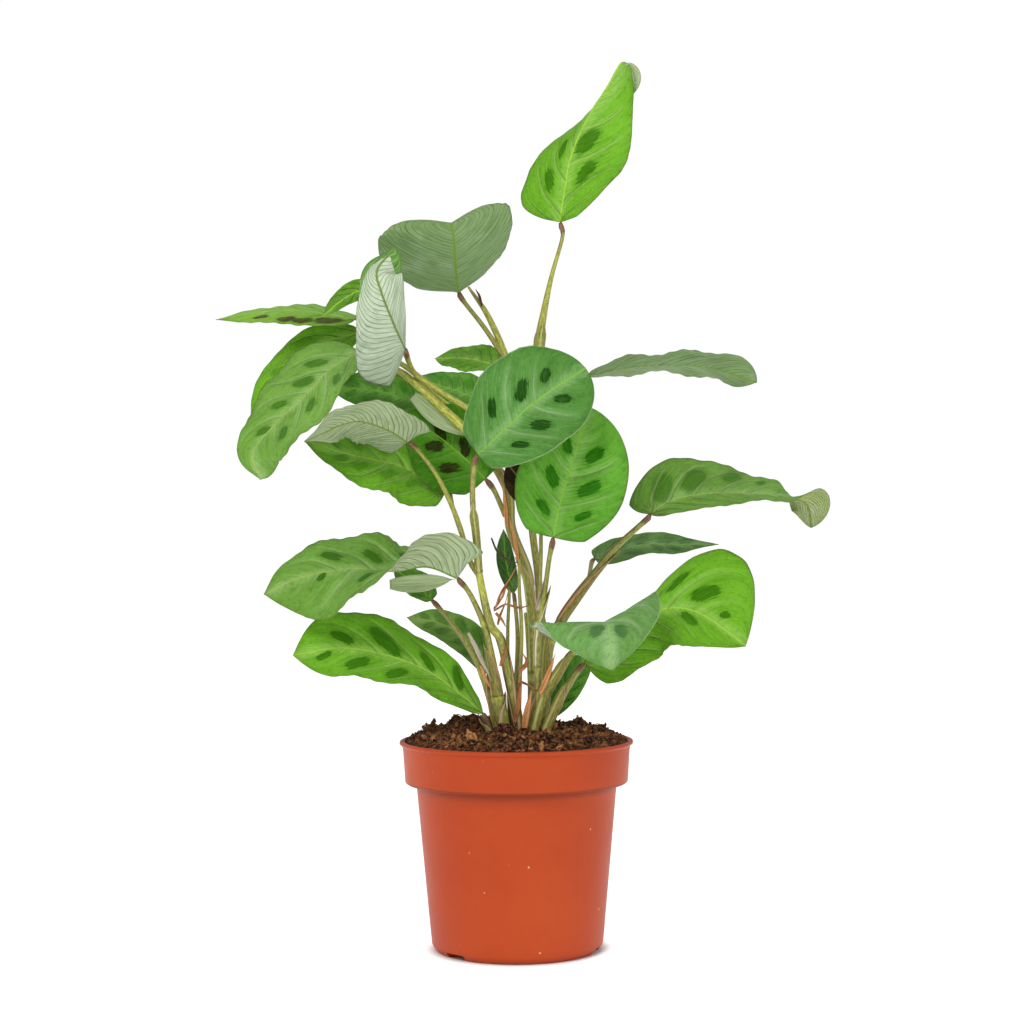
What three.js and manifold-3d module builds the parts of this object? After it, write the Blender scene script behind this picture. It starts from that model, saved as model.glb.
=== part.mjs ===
// Prayer plant (Maranta) in a 12 cm plastic nursery pot. Millimetres, +Z up.
// The origin is the middle of the pot's foot, on the surface it stands on; -Y is the front.
import * as THREE from "three";
import { mergeVertices } from "three/addons/utils/BufferGeometryUtils.js";
import Module from "manifold-3d";

const wasm = await Module();
wasm.setup();

// Pot: a moulded tub with a wider band under its lip.
const LIP_RADIUS = 60;
const POT_HEIGHT = 107;
const LIP_THICKNESS = 1.6;
const BAND_TOP_RADIUS = 58.5;
const BAND_FOOT_RADIUS = 57.2;
const BAND_FOOT = 86;
const BODY_TOP_RADIUS = 51.4;
const BODY_FOOT_RADIUS = 44;
const FOOT_RADIUS = 41.5;
const FOOT_CHAMFER = 3.5;
const WALL = 1.2;
const FLOOR = 4.4;
const POT_SIDES = 44;

// Three water notches in the foot, each with a drain hole behind it. Angles run from the front.
const NOTCH_ANGLES = [-47, 73, 193];
const NOTCH_WIDTH = 13;
const NOTCH_HEIGHT = 3;
const NOTCH_DEPTH = 15;
const DRAIN_RADIUS = 3;

// Soil: a lumpy fill, a little above the lip in the middle.
const SOIL_EDGE = 106.4;
const SOIL_HEAP = 5.5;
const SOIL_RINGS = 6;
const CLEARANCE = 0.3;

// The larger clods on top of the soil: [x, y, radius, height].
const CLODS = [[-25, 14, 15, 5], [-46, 8, 9, 2.5], [34, 14, 14, 2.5], [-6, -34, 9, 2], [46, -14, 9, 1.5]];

// Leaf blades and stems.
const BLADE_THICKNESS = 0.7;
const BLADE_ROWS = 10;
const BLADE_COLUMNS = 3;
const STEM_SIDES = 7;
const STEM_STEP = 9;
const STALK_GAP = 0.95;
const STALK_TIP_RADIUS = 0.7;

// Every leaf: the midrib from stalk to tip, the way the upper face looks along it, the half
// widths left and right of the midrib (left and right as seen on the upper face with the tip up),
// how far each half is folded up from the midrib and curled on towards its edge (degrees), where
// each half is widest (0 base, 1 tip), how blunt the base and how full the tip is, how round the
// very end is (1 pointed, 0.5 round), how far the base lobes reach back, and the wave of the edge
// (height, count, phase). A fold that changes along the leaf is a list from base to tip.
const LEAVES = [
  { name: "leaf_01", half: [23, 29], fold: [[8, 4, -50, -100, -105], 8], curl: [-16, -14], belly: [0.14, 0.4],
    blunt: [0.4, 1.1], tip: [1.1, 1.75], end: [1, 1.5], wave: [1, 3, 0],
    midrib: [[24.5, 10, 374], [26.5, 7, 388], [29, 5, 403.5], [33.5, 4, 416.5], [40, 5, 429.5],
      [49, 8, 444], [57.5, 12, 457.5], [63, 18, 448]],
    facing: [[-0.2, -0.95, 0.1], [-0.2, -0.95, 0.1], [-0.2, -0.95, 0.15], [-0.2, -0.95, 0.2],
      [-0.1, -0.95, 0.2], [-0.1, -0.9, 0.4], [0.2, -0.5, 0.85], [0.6, 0.8, 0.1]] },
  { name: "leaf_02", half: [36, 40], fold: [[20, 20, 25, 27], [-3, 0, 6, 10]], curl: [22, 8],
    belly: [0.6, 0.55], end: [0.42, 0.45], lobe: [0.1, 0.1], wave: [1.2, 3, 0],
    midrib: [[-29, 35, 341], [-30, 12, 351], [-30, -12, 361], [-31, -28, 369]],
    facing: [[0, 0.35, 0.93], [0, 0.45, 0.9], [0, 0.5, 0.87], [0, 0.3, 0.95]] },
  { name: "leaf_03", half: [14, 27], fold: [10, -5], curl: [10, -10], belly: [0.78, 0.22], blunt: [1.1, 0.95],
    tip: [2.3, 1.3], end: [0.6, 1.6], lobe: [0.1, 1], wave: [0.8, 3, 0],
    midrib: [[-55, -14, 307], [-61, -26, 321], [-66, -33, 334], [-68, -35, 345], [-59, -31, 357]],
    facing: [[-0.1, 0.95, 0.2], [-0.1, 0.95, 0.2], [-0.1, 0.95, 0.2], [0, 0.95, 0.3], [0, 0.9, 0.4]] },
  { name: "leaf_04", half: [17, 20], fold: [-2, -8], curl: [-10, 0], wave: [0.5, 2, 0],
    midrib: [[-83, 25, 326], [-114, 30, 331], [-140, 34, 330], [-158, 36, 327]],
    facing: [[0, -0.38, 0.92], [0, -0.38, 0.92], [0, -0.38, 0.92], [0, -0.3, 0.95]] },
  { name: "leaf_05", half: [6, 7], fold: [5, 5], wave: [0.6, 2, 0],
    midrib: [[-67, 10, 340], [-79, 8, 339], [-88, 4, 334], [-98, 0, 325]],
    facing: [[-0.2, -0.9, 0.4], [-0.2, -0.9, 0.4], [-0.3, -0.9, 0.3], [-0.5, -0.8, 0.3]] },
  { name: "leaf_06", half: [20, 12], fold: [10, 10], belly: [0.45, 0.45], wave: [1, 3, 0],
    midrib: [[-81, 28, 319], [-105, 36, 313], [-122, 36, 297], [-131, 32, 275], [-130, 24, 249]],
    facing: [[-0.2, -0.9, 0.4], [-0.3, -0.9, 0.4], [-0.4, -0.9, 0.3], [-0.4, -0.9, 0.1], [-0.4, -0.9, 0]] },
  { name: "leaf_07", half: [28, 29], fold: [12, 10], curl: [-10, -10], belly: [0.6, 0.34],
    blunt: [0.7, 0.5], tip: [2.3, 1.8], end: [0.5, 1], wave: [1.2, 3, 0.2],
    midrib: [[-79, 0, 307], [-94, -10, 297], [-106, -18, 283], [-121, -24, 268], [-131, -27, 254],
      [-128, -24, 241]],
    facing: [[-0.4, -0.75, 0.5], [-0.5, -0.72, 0.48], [-0.55, -0.7, 0.42], [-0.6, -0.7, 0.4],
      [-0.6, -0.75, 0.2], [-0.5, -0.85, -0.1]] },
  { name: "leaf_08", half: [20, 22], fold: [0, 4], belly: [0.3, 0.3], blunt: [0.3, 0.5], lobe: [0.5, 0.3],
    wave: [1.2, 3, 0],
    midrib: [[-54, -12, 260], [-66, -18, 267], [-82, -24, 270], [-105, -30, 260]],
    facing: [[0, 0.5, 0.84], [0, 0.5, 0.84], [0, 0.5, 0.86], [-0.2, 0.4, 0.86]] },
  { name: "leaf_09", half: [22.5, 22], fold: [-5, 5], belly: [0.3, 0.4], lobe: [0.35, 0.2], wave: [1.2, 3, 0],
    midrib: [[-35, 5, 236], [-59, 5, 248], [-85, 2, 254], [-108, 0, 261]],
    facing: [[0, -0.6, 0.8], [0, -0.65, 0.76], [0, -0.65, 0.76], [0, -0.5, 0.86]] },
  { name: "leaf_10", half: [24, 22], fold: [0, 5], wave: [1, 3, 0],
    midrib: [[-15, 0, 241], [-27, 2, 253], [-42, 4, 265], [-59, 6, 274]],
    facing: [[-0.1, -0.85, 0.45], [-0.1, -0.85, 0.45], [-0.1, -0.85, 0.45], [-0.1, -0.85, 0.45]] },
  { name: "leaf_11", half: [14, 14], fold: [5, 5], wave: [1, 2, 0],
    midrib: [[-46, 22, 279], [-64, 30, 286], [-81, 37, 290], [-98, 42, 290]],
    facing: [[0, -0.85, 0.5], [0, -0.85, 0.5], [0, -0.85, 0.5], [0, -0.85, 0.5]] },
  { name: "leaf_12", half: [11.5, 12], fold: [0, 10], wave: [0.8, 2, 0],
    midrib: [[-8, 42, 302], [-25, 56, 307], [-43, 68, 308]],
    facing: [[0, -0.65, 0.75], [0, -0.65, 0.75], [0, -0.65, 0.75]] },
  { name: "leaf_13", half: [13, 13], fold: [5, 5], wave: [0.8, 2, 0],
    midrib: [[-16, 28, 282], [-29, 37, 288], [-43, 46, 293], [-52, 51, 297]],
    facing: [[0, -0.8, 0.6], [0, -0.8, 0.6], [0, -0.8, 0.6], [0, -0.8, 0.6]] },
  { name: "leaf_14", half: [30, 25], fold: [4, 4], curl: [-12, -12], belly: [0.5, 0.58], blunt: [0.5, 0.6],
    tip: [2, 2], end: [0.5, 0.5], wave: [1, 3, 0],
    midrib: [[-18, -48, 252], [-5, -54, 264], [7, -58, 275], [21, -58, 285], [35, -54, 294]],
    facing: [[-0.1, -0.95, 0.3], [-0.1, -0.95, 0.3], [-0.1, -0.95, 0.3], [0, -0.95, 0.3], [0.1, -0.9, 0.4]] },
  { name: "leaf_15", half: [25, 30], fold: [3, 5], curl: [-8, -8], belly: [0.4, 0.45], tip: [2.1, 2.1],
    end: [0.6, 0.6], wave: [1.2, 3, 0],
    midrib: [[19, -28, 211], [23, -32, 230], [30, -34, 252], [38, -30, 276]],
    facing: [[0, -0.95, 0.3], [0, -0.95, 0.3], [0, -0.95, 0.3], [0, -0.95, 0.3]] },
  { name: "leaf_16", half: [21, 18], fold: [8, 0], belly: [0.5, 0.5], tip: [2.3, 4], end: [1, 0.6],
    wave: [1.2, 3, 0],
    midrib: [[39, 15, 295], [60, 14, 299], [81, 12, 300], [102, 8, 298], [125, 2, 290]],
    facing: [[0, 0.3, 0.95], [0, 0.28, 0.94], [0, 0.28, 0.93], [0.1, 0.4, 0.9], [0.3, 0.75, 0.6]] },
  { name: "leaf_17", half: [27, 17], fold: [3, 15], belly: [0.3, 0.55], blunt: [1.1, 0.6], tip: [1.15, 2.6],
    end: [0.65, 0.6], lobe: [0.7, 0.2], wave: [1.2, 3, 0],
    midrib: [[69, -10, 222.5], [78, -10, 228.5], [89, -10, 231.5], [104, -10, 233], [120, -10, 232.5],
      [138, -9, 231], [149, -6, 227], [152, -2, 215]],
    facing: [[0, -0.8, 0.6], [0, -0.8, 0.6], [0, -0.8, 0.6], [0, -0.6, 0.8], [0, -0.5, 0.85],
      [0, -0.35, 0.94], [0.1, 0.5, 0.85], [0.4, 0.9, 0.1]] },
  { name: "leaf_18", half: [10, 10], fold: [5, 5], belly: [0.3, 0.3], lobe: [0.6, 0.6], wave: [0.8, 2, 0],
    midrib: [[42, 30, 199], [67, 37, 206], [89, 43, 206], [109, 47, 206]],
    facing: [[0, -0.6, 0.8], [0, -0.6, 0.8], [0, -0.6, 0.8], [0, -0.5, 0.86]] },
  { name: "leaf_19", half: [41, 24], fold: [5, 5], curl: [-8, -8], belly: [0.72, 0.25],
    blunt: [11, 0.5], tip: [2.1, 4], end: [0.8, 1], lobe: [0.1, 0.25], wave: [1.8, 3, 0],
    midrib: [[35, -10, 147], [51, -17, 162], [71, -22, 174], [91, -26, 173], [115, -28, 156]],
    facing: [[-0.2, -0.85, 0.45], [-0.1, -0.85, 0.5], [0, -0.85, 0.5], [0.15, -0.8, 0.5],
      [0.3, -0.75, 0.5]] },
  { name: "leaf_20", half: [30, 36], fold: [24, 0], curl: [6, 0], belly: [0.4, 0.4], wave: [1.4, 3, 0],
    midrib: [[39, -23, 159], [42, -42, 168], [45, -59, 168], [46, -76, 148]],
    facing: [[0.1, -0.2, 0.95], [0.1, -0.45, 0.88], [0.1, -0.7, 0.7], [0, -0.95, 0.2]] },
  { name: "leaf_21", half: [31, 28], fold: [[56, 56, 30, 8, 2, 2, 2], [14, 12, 20, 10, -6, -12, -12]],
    belly: [0.7, 0.45], blunt: [0.25, 0.5], lobe: [0.5, 0.2], wave: [1.6, 4, 0],
    midrib: [[-29, -26, 191], [-44, -30, 197], [-60, -32, 195], [-83, -33, 196], [-107, -35, 192],
      [-125, -37, 184]],
    facing: [[0, -0.1, 1], [0, -0.1, 1], [0, -0.25, 0.96], [0, -0.55, 0.83], [0, -0.78, 0.63],
      [-0.1, -0.8, 0.6]] },
  { name: "leaf_22", half: [19, 23], fold: [3, 5], belly: [0.78, 0.72], blunt: [0.75, 0.8],
    wave: [1.4, 3, 0],
    midrib: [[-17, -12, 122], [-41, -22, 142], [-62, -31, 152], [-86, -39, 157], [-110, -44, 154]],
    facing: [[-0.1, -0.7, 0.7], [-0.1, -0.7, 0.7], [-0.1, -0.72, 0.7], [-0.1, -0.75, 0.65],
      [-0.1, -0.8, 0.6]] },
  { name: "leaf_23", half: [10, 10], fold: [5, 5], belly: [0.5, 0.5], wave: [0.8, 2, 0],
    midrib: [[-13, 20, 140], [-24, 27, 156], [-40, 36, 165], [-58, 44, 168]],
    facing: [[0, -0.8, 0.6], [0, -0.8, 0.6], [0, -0.8, 0.6], [0, -0.8, 0.6]] },
  { name: "leaf_24", half: [5, 5], fold: [15, 15], belly: [0.45, 0.45], wave: [0.2, 2, 0],
    midrib: [[-1, 15, 182], [-5, 13, 199], [-6, 12, 215]],
    facing: [[0, -0.95, 0.2], [0, -0.95, 0.2], [0, -0.95, 0.2]] },
  { name: "leaf_25", half: [8, 8], fold: [5, 5], belly: [0.45, 0.45], wave: [0.8, 2, 0],
    midrib: [[17, 15, 118], [27, 16, 134], [40, 16, 153]],
    facing: [[0.1, -0.98, 0.1], [0.1, -0.98, 0.1], [0.1, -0.98, 0.1]] },
  { name: "leaf_26", half: [7, 9], fold: [5, 5], belly: [0.45, 0.45], wave: [0.8, 2, 0],
    midrib: [[-43, 0, 179], [-53, 4, 188], [-63, 9, 195]],
    facing: [[0, -0.7, 0.7], [0, -0.7, 0.7], [0, -0.7, 0.7]] },
  { name: "leaf_27", half: [10, 10], fold: [5, 5], belly: [0.45, 0.45], wave: [0.5, 2, 0],
    midrib: [[13, -14, 230], [3, -16, 240], [-4, -18, 249]],
    facing: [[0, -0.9, 0.4], [0, -0.9, 0.4], [0, -0.9, 0.4]] },
];

// Every shoot is a clump of stalks grown together. A stalk is a line of [x, y, z, radius], and one
// with a leaf runs on to just short of that leaf's base.
const SHOOTS = [
  { name: "shoot_left", stalks: [
    { leaf: "leaf_21", line: [[-5, -9, 96, 2.6], [-6, -9, 109, 3], [-9, -9, 127, 3.2], [-13, -12, 154, 1.8],
      [-16, -15, 167, 1.6], [-23, -21, 183, 1.3], [-28, -25, 189.5, 1.4]] },
  ] },
  { name: "shoot_low_left", stalks: [
    { leaf: "leaf_22", line: [[-12, -11, 96, 1.6], [-13, -11, 110, 1.6], [-16, -11.7, 120, 1.5]] },
  ] },
  { name: "shoot_inner", stalks: [
    { leaf: "leaf_26", line: [[-8, 0, 96, 2], [-9, -1, 110, 2], [-17, -3, 140, 1.7], [-25, -2, 156, 1.4],
      [-35, -1, 170, 1.1], [-41.5, 0, 177.5, 1.3]] },
  ] },
  { name: "shoot_front", stalks: [
    { leaf: "leaf_14", line: [[2, -6, 96, 2.4], [2, -6, 110, 2.4], [-2, -8, 133, 2.4], [-8, -14, 159, 2],
      [-13, -17, 168, 2.1], [-18, -24, 192, 1.8], [-19, -28, 207, 1.6], [-21, -38, 230, 1.4],
      [-20, -46, 248, 1.4]] },
    { leaf: "leaf_08", line: [[-18, -24, 192, 1.6], [-23, -22, 200, 1.4], [-29, -18, 220, 1.3],
      [-38, -14, 240, 1.2], [-47, -12, 253, 1.1], [-52, -12, 258.5, 1.4]] },
    { leaf: "leaf_09", line: [[-26, -20, 210, 1.2], [-31, -9, 224, 1.1], [-33.5, 3, 233, 1.3]] },
  ] },
  { name: "shoot_centre", stalks: [
    { leaf: "leaf_07", line: [[5, 1, 96, 2.6], [5, 1, 108, 2.6], [9, 2, 132, 2.6], [9, 4, 158, 2.4],
      [8, 4, 179, 2.4], [6, 5, 194, 2.4], [-2, 8, 215, 2.3], [-5, 10, 238, 2.2], [-26, 14, 270, 2.2],
      [-44, 14, 286, 2], [-61, 12, 297, 1.7], [-72, 5, 303, 1.4], [-77, 1.2, 306, 1.4]] },
    { leaf: "leaf_10", line: [[-5, 9, 222, 1.4], [-10, 4, 234, 1.3], [-13, 1.2, 238.6, 1.5]] },
    { leaf: "leaf_03", line: [[-38, 14, 281, 1.6], [-48, 6, 291, 1.4], [-53, -4, 299, 1.3],
      [-55, -12, 305.5, 1.4]] },
    { leaf: "leaf_04", line: [[-61, 12, 297, 1.5], [-68, 19, 311, 1.3], [-74, 24, 321, 1.2],
      [-80.5, 25, 325.2, 1.3]] },
    { leaf: "leaf_06", line: [[-66, 17, 306, 1.3], [-73, 25, 314, 1.1], [-78.8, 28, 318, 1.2]] },
    { leaf: "leaf_05", line: [[-69, 20, 313, 1.2], [-66, 16, 328, 1], [-65.5, 10.6, 338, 1]] },
    { leaf: "leaf_11", line: [[-26, 14, 270, 1.5], [-36, 20, 275, 1.2], [-44, 22, 278, 1.2]] },
  ] },
  { name: "shoot_heart", stalks: [
    { leaf: "leaf_24", line: [[-2, 12, 96, 1.4], [-2, 12, 110, 1.4], [0, 13, 135, 1.2], [1, 14, 160, 1.1],
      [-0.6, 15, 180, 1]] },
  ] },
  { name: "shoot_back", stalks: [
    { line: [[8, 10, 96, 2.4], [8, 10, 107, 2.4], [13, 15, 157, 2.2], [12, 17, 189, 2], [9, 19, 215, 1.9],
      [5, 24, 262, 1.9], [-2, 32, 299, 1.8], [-13, 38, 327, 1.6], [-24, 40, 344, 0.7]] },
    { leaf: "leaf_02", line: [[-4, 33, 304, 1.5], [-15, 35, 321, 1.3], [-25, 36, 334, 1.2],
      [-28.4, 36, 338.8, 1.4]] },
    { leaf: "leaf_01", line: [[8, 20, 235, 1.8], [12, 19, 270, 2], [13, 18, 309, 2.5], [16, 16, 329, 1.8],
      [20, 13, 347, 1.2], [25.5, 11, 366, 1], [25, 10.2, 371.5, 1.3]] },
    { leaf: "leaf_12", line: [[0, 31, 290, 1.2], [-3, 37, 297, 1.1], [-6.4, 41, 301.3, 1.1]] },
    { leaf: "leaf_13", line: [[5, 24, 260, 1.2], [-6, 27, 273, 1.1], [-14, 28, 280.4, 1.2]] },
    { leaf: "leaf_16", line: [[12, 19, 262, 1.4], [24, 17, 280, 1.2], [37, 15.5, 293.6, 1.3]] },
  ] },
  { name: "shoot_right", stalks: [
    { leaf: "leaf_17", line: [[14, 2, 96, 2.4], [14, 3, 110, 2.6], [17, 4, 153, 2.6], [23, 4, 167, 2.6],
      [31, 3, 179, 2.5], [42, 0, 194, 1.8], [51, -3, 205, 1.6],
      [64, -8, 217, 1.4], [68.2, -9.6, 220.8, 1.4]] },
    { leaf: "leaf_18", line: [[38, 1, 189, 1.3], [39, 14, 193, 1.1], [40.5, 28, 197.6, 1.2]] },
  ] },
  { name: "shoot_low_front", stalks: [
    { leaf: "leaf_20", line: [[9, -6, 96, 2.2], [9, -6, 108, 2.4], [15, -9, 131, 2.4], [23, -13, 144, 2.2],
      [28, -17, 152, 1.9], [36, -21, 157, 1.4], [38, -22.4, 158.2, 1.4]] },
    { leaf: "leaf_15", line: [[11, -7, 116, 1.4], [11, -13, 159, 1.6], [13, -16, 172, 1.5],
      [15, -20, 185, 1.3],
      [17, -25, 200, 1.2], [18.8, -27.8, 209, 1.4]] },
    { leaf: "leaf_27", line: [[11, -13, 165, 1.1], [13, -13, 200, 1], [13, -14, 229, 1]] },
  ] },
  { name: "shoot_low_right", stalks: [
    { leaf: "leaf_19", line: [[14, -12, 96, 2], [14, -12, 109, 2.1], [21, -12, 126, 2.1], [30, -11, 141, 1.6],
      [34, -10, 146, 1.5]] },
  ] },
  { name: "shoot_young", stalks: [
    { leaf: "leaf_23", line: [[-10, 18, 96, 1.5], [-10, 19, 110, 1.5], [-11, 20, 130, 1.4],
      [-12.6, 20, 138.5, 1.3]] },
  ] },
  { name: "shoot_bud", stalks: [
    { leaf: "leaf_25", line: [[17, 15, 96, 1.4], [16.5, 15, 110, 1.4], [16.4, 15, 116.4, 1.2]] },
  ] },
];

function halfWidth(s, belly, blunt, tip, end) {
  if (s < belly) {
    return Math.sin((0.5 * Math.PI * s) / belly) ** blunt;
  }
  return Math.max(0, 1 - ((s - belly) / (1 - belly)) ** tip) ** end;
}

// A number, or the value at s of numbers spaced evenly from base to tip.
function valueAt(value, s) {
  if (!Array.isArray(value)) {
    return value;
  }
  const at = s * (value.length - 1);
  const i = Math.min(Math.floor(at), value.length - 2);
  return THREE.MathUtils.lerp(value[i], value[i + 1], at - i);
}

function blendAlong(list, s) {
  const at = s * (list.length - 1);
  const i = Math.min(Math.floor(at), list.length - 2);
  return list[i].clone().lerp(list[i + 1], at - i);
}

// The blade's middle surface: rows run from base to tip, columns from the left edge to the right.
function bladeGrid(leaf) {
  const midrib = leaf.midrib.map((p) => new THREE.Vector3(...p));
  const facing = leaf.facing.map((f) => new THREE.Vector3(...f));
  const belly = leaf.belly ?? [0.4, 0.4];
  const blunt = leaf.blunt ?? [0.5, 0.5];
  const tip = leaf.tip ?? [2.3, 2.3];
  const end = leaf.end ?? [1, 1];
  const lobe = leaf.lobe ?? [0.2, 0.2];
  const curl = leaf.curl ?? [0, 0];
  const [waveHeight, waveCount, wavePhase] = leaf.wave;
  const curve = new THREE.CatmullRomCurve3(midrib, false, "catmullrom", 0.5);
  const grid = [];
  for (let i = 0; i <= BLADE_ROWS; i += 1) {
    const even = i / BLADE_ROWS;
    const s = 0.5 * even + 0.5 * (0.5 - 0.5 * Math.cos(Math.PI * even));
    const along = curve.getTangentAt(s);
    const up = blendAlong(facing, curve.getUtoTmapping(s));
    up.addScaledVector(along, -up.dot(along)).normalize();
    const toLeft = new THREE.Vector3().crossVectors(up, along);
    const middle = curve.getPointAt(s);
    const row = [];
    for (let j = -BLADE_COLUMNS; j <= BLADE_COLUMNS; j += 1) {
      const side = j < 0 ? 0 : 1;
      const r = Math.abs(j) / BLADE_COLUMNS;
      const width = leaf.half[side] * halfWidth(s, belly[side], blunt[side], tip[side], end[side]);
      const reach = Math.max(width, 0.5) * r;
      const lift = THREE.MathUtils.degToRad(valueAt(leaf.fold[side], s) + 0.5 * curl[side] * r);
      const ends = Math.min(1, 4 * s) * Math.min(1, 4 * (1 - s));
      const turn = 2 * Math.PI * (waveCount * s + wavePhase + 0.5 * side);
      const wave = waveHeight * r * r * ends * Math.sin(turn);
      const back = lobe[side] * leaf.half[side] * (1 - s) ** 3 * r * r * Math.min(1, 12 * s);
      row.push(middle.clone()
        .addScaledVector(toLeft, (side ? -1 : 1) * reach * Math.cos(lift))
        .addScaledVector(up, reach * Math.sin(lift) + wave)
        .addScaledVector(along, -back));
    }
    grid.push(row);
  }
  return grid;
}

// A thin closed solid round a surface grid, with both faces split along the same diagonals.
function thicken(grid, thickness) {
  const rows = grid.length;
  const columns = grid[0].length;
  const corners = [];
  for (const sign of [0.5, -0.5]) {
    for (let i = 0; i < rows; i += 1) {
      for (let j = 0; j < columns; j += 1) {
        const across = grid[i][Math.min(j + 1, columns - 1)].clone().sub(grid[i][Math.max(j - 1, 0)]);
        const along = grid[Math.min(i + 1, rows - 1)][j].clone().sub(grid[Math.max(i - 1, 0)][j]);
        const up = across.cross(along).normalize();
        corners.push(grid[i][j].clone().addScaledVector(up, sign * thickness));
      }
    }
  }
  const upper = (i, j) => i * columns + j;
  const lower = (i, j) => rows * columns + i * columns + j;
  const faces = [];
  const quad = (a, b, c, d) => faces.push(a, b, c, a, c, d);
  for (let i = 0; i < rows - 1; i += 1) {
    for (let j = 0; j < columns - 1; j += 1) {
      quad(upper(i, j), upper(i, j + 1), upper(i + 1, j + 1), upper(i + 1, j));
      faces.push(lower(i, j), lower(i + 1, j + 1), lower(i, j + 1));
      faces.push(lower(i, j), lower(i + 1, j), lower(i + 1, j + 1));
    }
    quad(upper(i, 0), upper(i + 1, 0), lower(i + 1, 0), lower(i, 0));
    const last = columns - 1;
    quad(upper(i + 1, last), upper(i, last), lower(i, last), lower(i + 1, last));
  }
  for (let j = 0; j < columns - 1; j += 1) {
    quad(upper(0, j + 1), upper(0, j), lower(0, j), lower(0, j + 1));
    const end = rows - 1;
    quad(upper(end, j), upper(end, j + 1), lower(end, j + 1), lower(end, j));
  }
  return geometryOf(corners, faces);
}

function geometryOf(corners, faces) {
  const geometry = new THREE.BufferGeometry().setFromPoints(corners);
  geometry.setIndex(faces);
  return geometry;
}

// A stalk's whole line, led on to its leaf.
function wholeLine({ line, leaf }) {
  if (!leaf) {
    return line;
  }
  const midrib = LEAVES.find((one) => one.name === leaf).midrib.map((p) => new THREE.Vector3(...p));
  const along = midrib[1].clone().sub(midrib[0]).normalize();
  const end = midrib[0].clone().addScaledVector(along, -STALK_GAP);
  return [...line, [end.x, end.y, end.z, STALK_TIP_RADIUS]];
}

// A closed round stalk through points with their own radii, made wider all round by extra.
function stalkGeometry(stalk, extra = 0) {
  const points = stalk.map(([x, y, z]) => new THREE.Vector3(x, y, z));
  points[0].z -= extra;
  const curve = new THREE.CatmullRomCurve3(points, false, "catmullrom", 0.5);
  const steps = Math.max(2, Math.ceil(curve.getLength() / STEM_STEP));
  const frames = curve.computeFrenetFrames(steps, false);
  const corners = [];
  for (let i = 0; i <= steps; i += 1) {
    const at = curve.getUtoTmapping(i / steps) * (stalk.length - 1);
    const k = Math.min(Math.floor(at), stalk.length - 2);
    const radius = THREE.MathUtils.lerp(stalk[k][3], stalk[k + 1][3], at - k) + extra;
    const centre = curve.getPointAt(i / steps);
    for (let j = 0; j < STEM_SIDES; j += 1) {
      const turn = (2 * Math.PI * j) / STEM_SIDES;
      corners.push(centre.clone()
        .addScaledVector(frames.normals[i], radius * Math.cos(turn))
        .addScaledVector(frames.binormals[i], radius * Math.sin(turn)));
    }
  }
  const faces = [];
  for (let i = 0; i < steps; i += 1) {
    for (let j = 0; j < STEM_SIDES; j += 1) {
      const a = i * STEM_SIDES + j;
      const b = i * STEM_SIDES + ((j + 1) % STEM_SIDES);
      faces.push(a, b, b + STEM_SIDES, a, b + STEM_SIDES, a + STEM_SIDES);
    }
  }
  const top = steps * STEM_SIDES;
  for (let j = 1; j < STEM_SIDES - 1; j += 1) {
    faces.push(0, j + 1, j);
    faces.push(top, top + j, top + j + 1);
  }
  return geometryOf(corners, faces);
}

// A body turned about the Z axis from [radius, height] points that run up the outside.
function turned(profile, sides, heightAt = (x, y, z) => z) {
  const corners = [];
  for (const [radius, z] of profile) {
    for (let j = 0; j < sides; j += 1) {
      const turn = (2 * Math.PI * j) / sides;
      const x = radius * Math.cos(turn);
      const y = radius * Math.sin(turn);
      corners.push(new THREE.Vector3(x, y, heightAt(x, y, z)));
    }
  }
  const faces = [];
  for (let i = 0; i < profile.length - 1; i += 1) {
    for (let j = 0; j < sides; j += 1) {
      const a = i * sides + j;
      const b = i * sides + ((j + 1) % sides);
      faces.push(a, b, b + sides, a, b + sides, a + sides);
    }
  }
  return geometryOf(corners, faces);
}

function solidOf(geometry) {
  const bare = new THREE.BufferGeometry();
  bare.setAttribute("position", geometry.getAttribute("position").clone());
  bare.setIndex(geometry.index.clone());
  const merged = mergeVertices(bare, 1e-3);
  const corners = merged.index.array;
  const kept = [];
  for (let i = 0; i < corners.length; i += 3) {
    const [a, b, c] = corners.subarray(i, i + 3);
    if (a !== b && b !== c && c !== a) {
      kept.push(a, b, c);
    }
  }
  return new wasm.Manifold(new wasm.Mesh({
    numProp: 3,
    vertProperties: merged.getAttribute("position").array,
    triVerts: new Uint32Array(kept),
  }));
}

function meshOf(name, solid) {
  const { vertProperties, triVerts, numProp } = solid.getMesh();
  const positions = [];
  for (let i = 0; i < vertProperties.length; i += numProp) {
    positions.push(vertProperties[i], vertProperties[i + 1], vertProperties[i + 2]);
  }
  const geometry = new THREE.BufferGeometry();
  geometry.setAttribute("position", new THREE.Float32BufferAttribute(positions, 3));
  geometry.setIndex(Array.from(triVerts));
  const mesh = new THREE.Mesh(geometry, new THREE.MeshStandardMaterial());
  mesh.name = name;
  return mesh;
}

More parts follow.
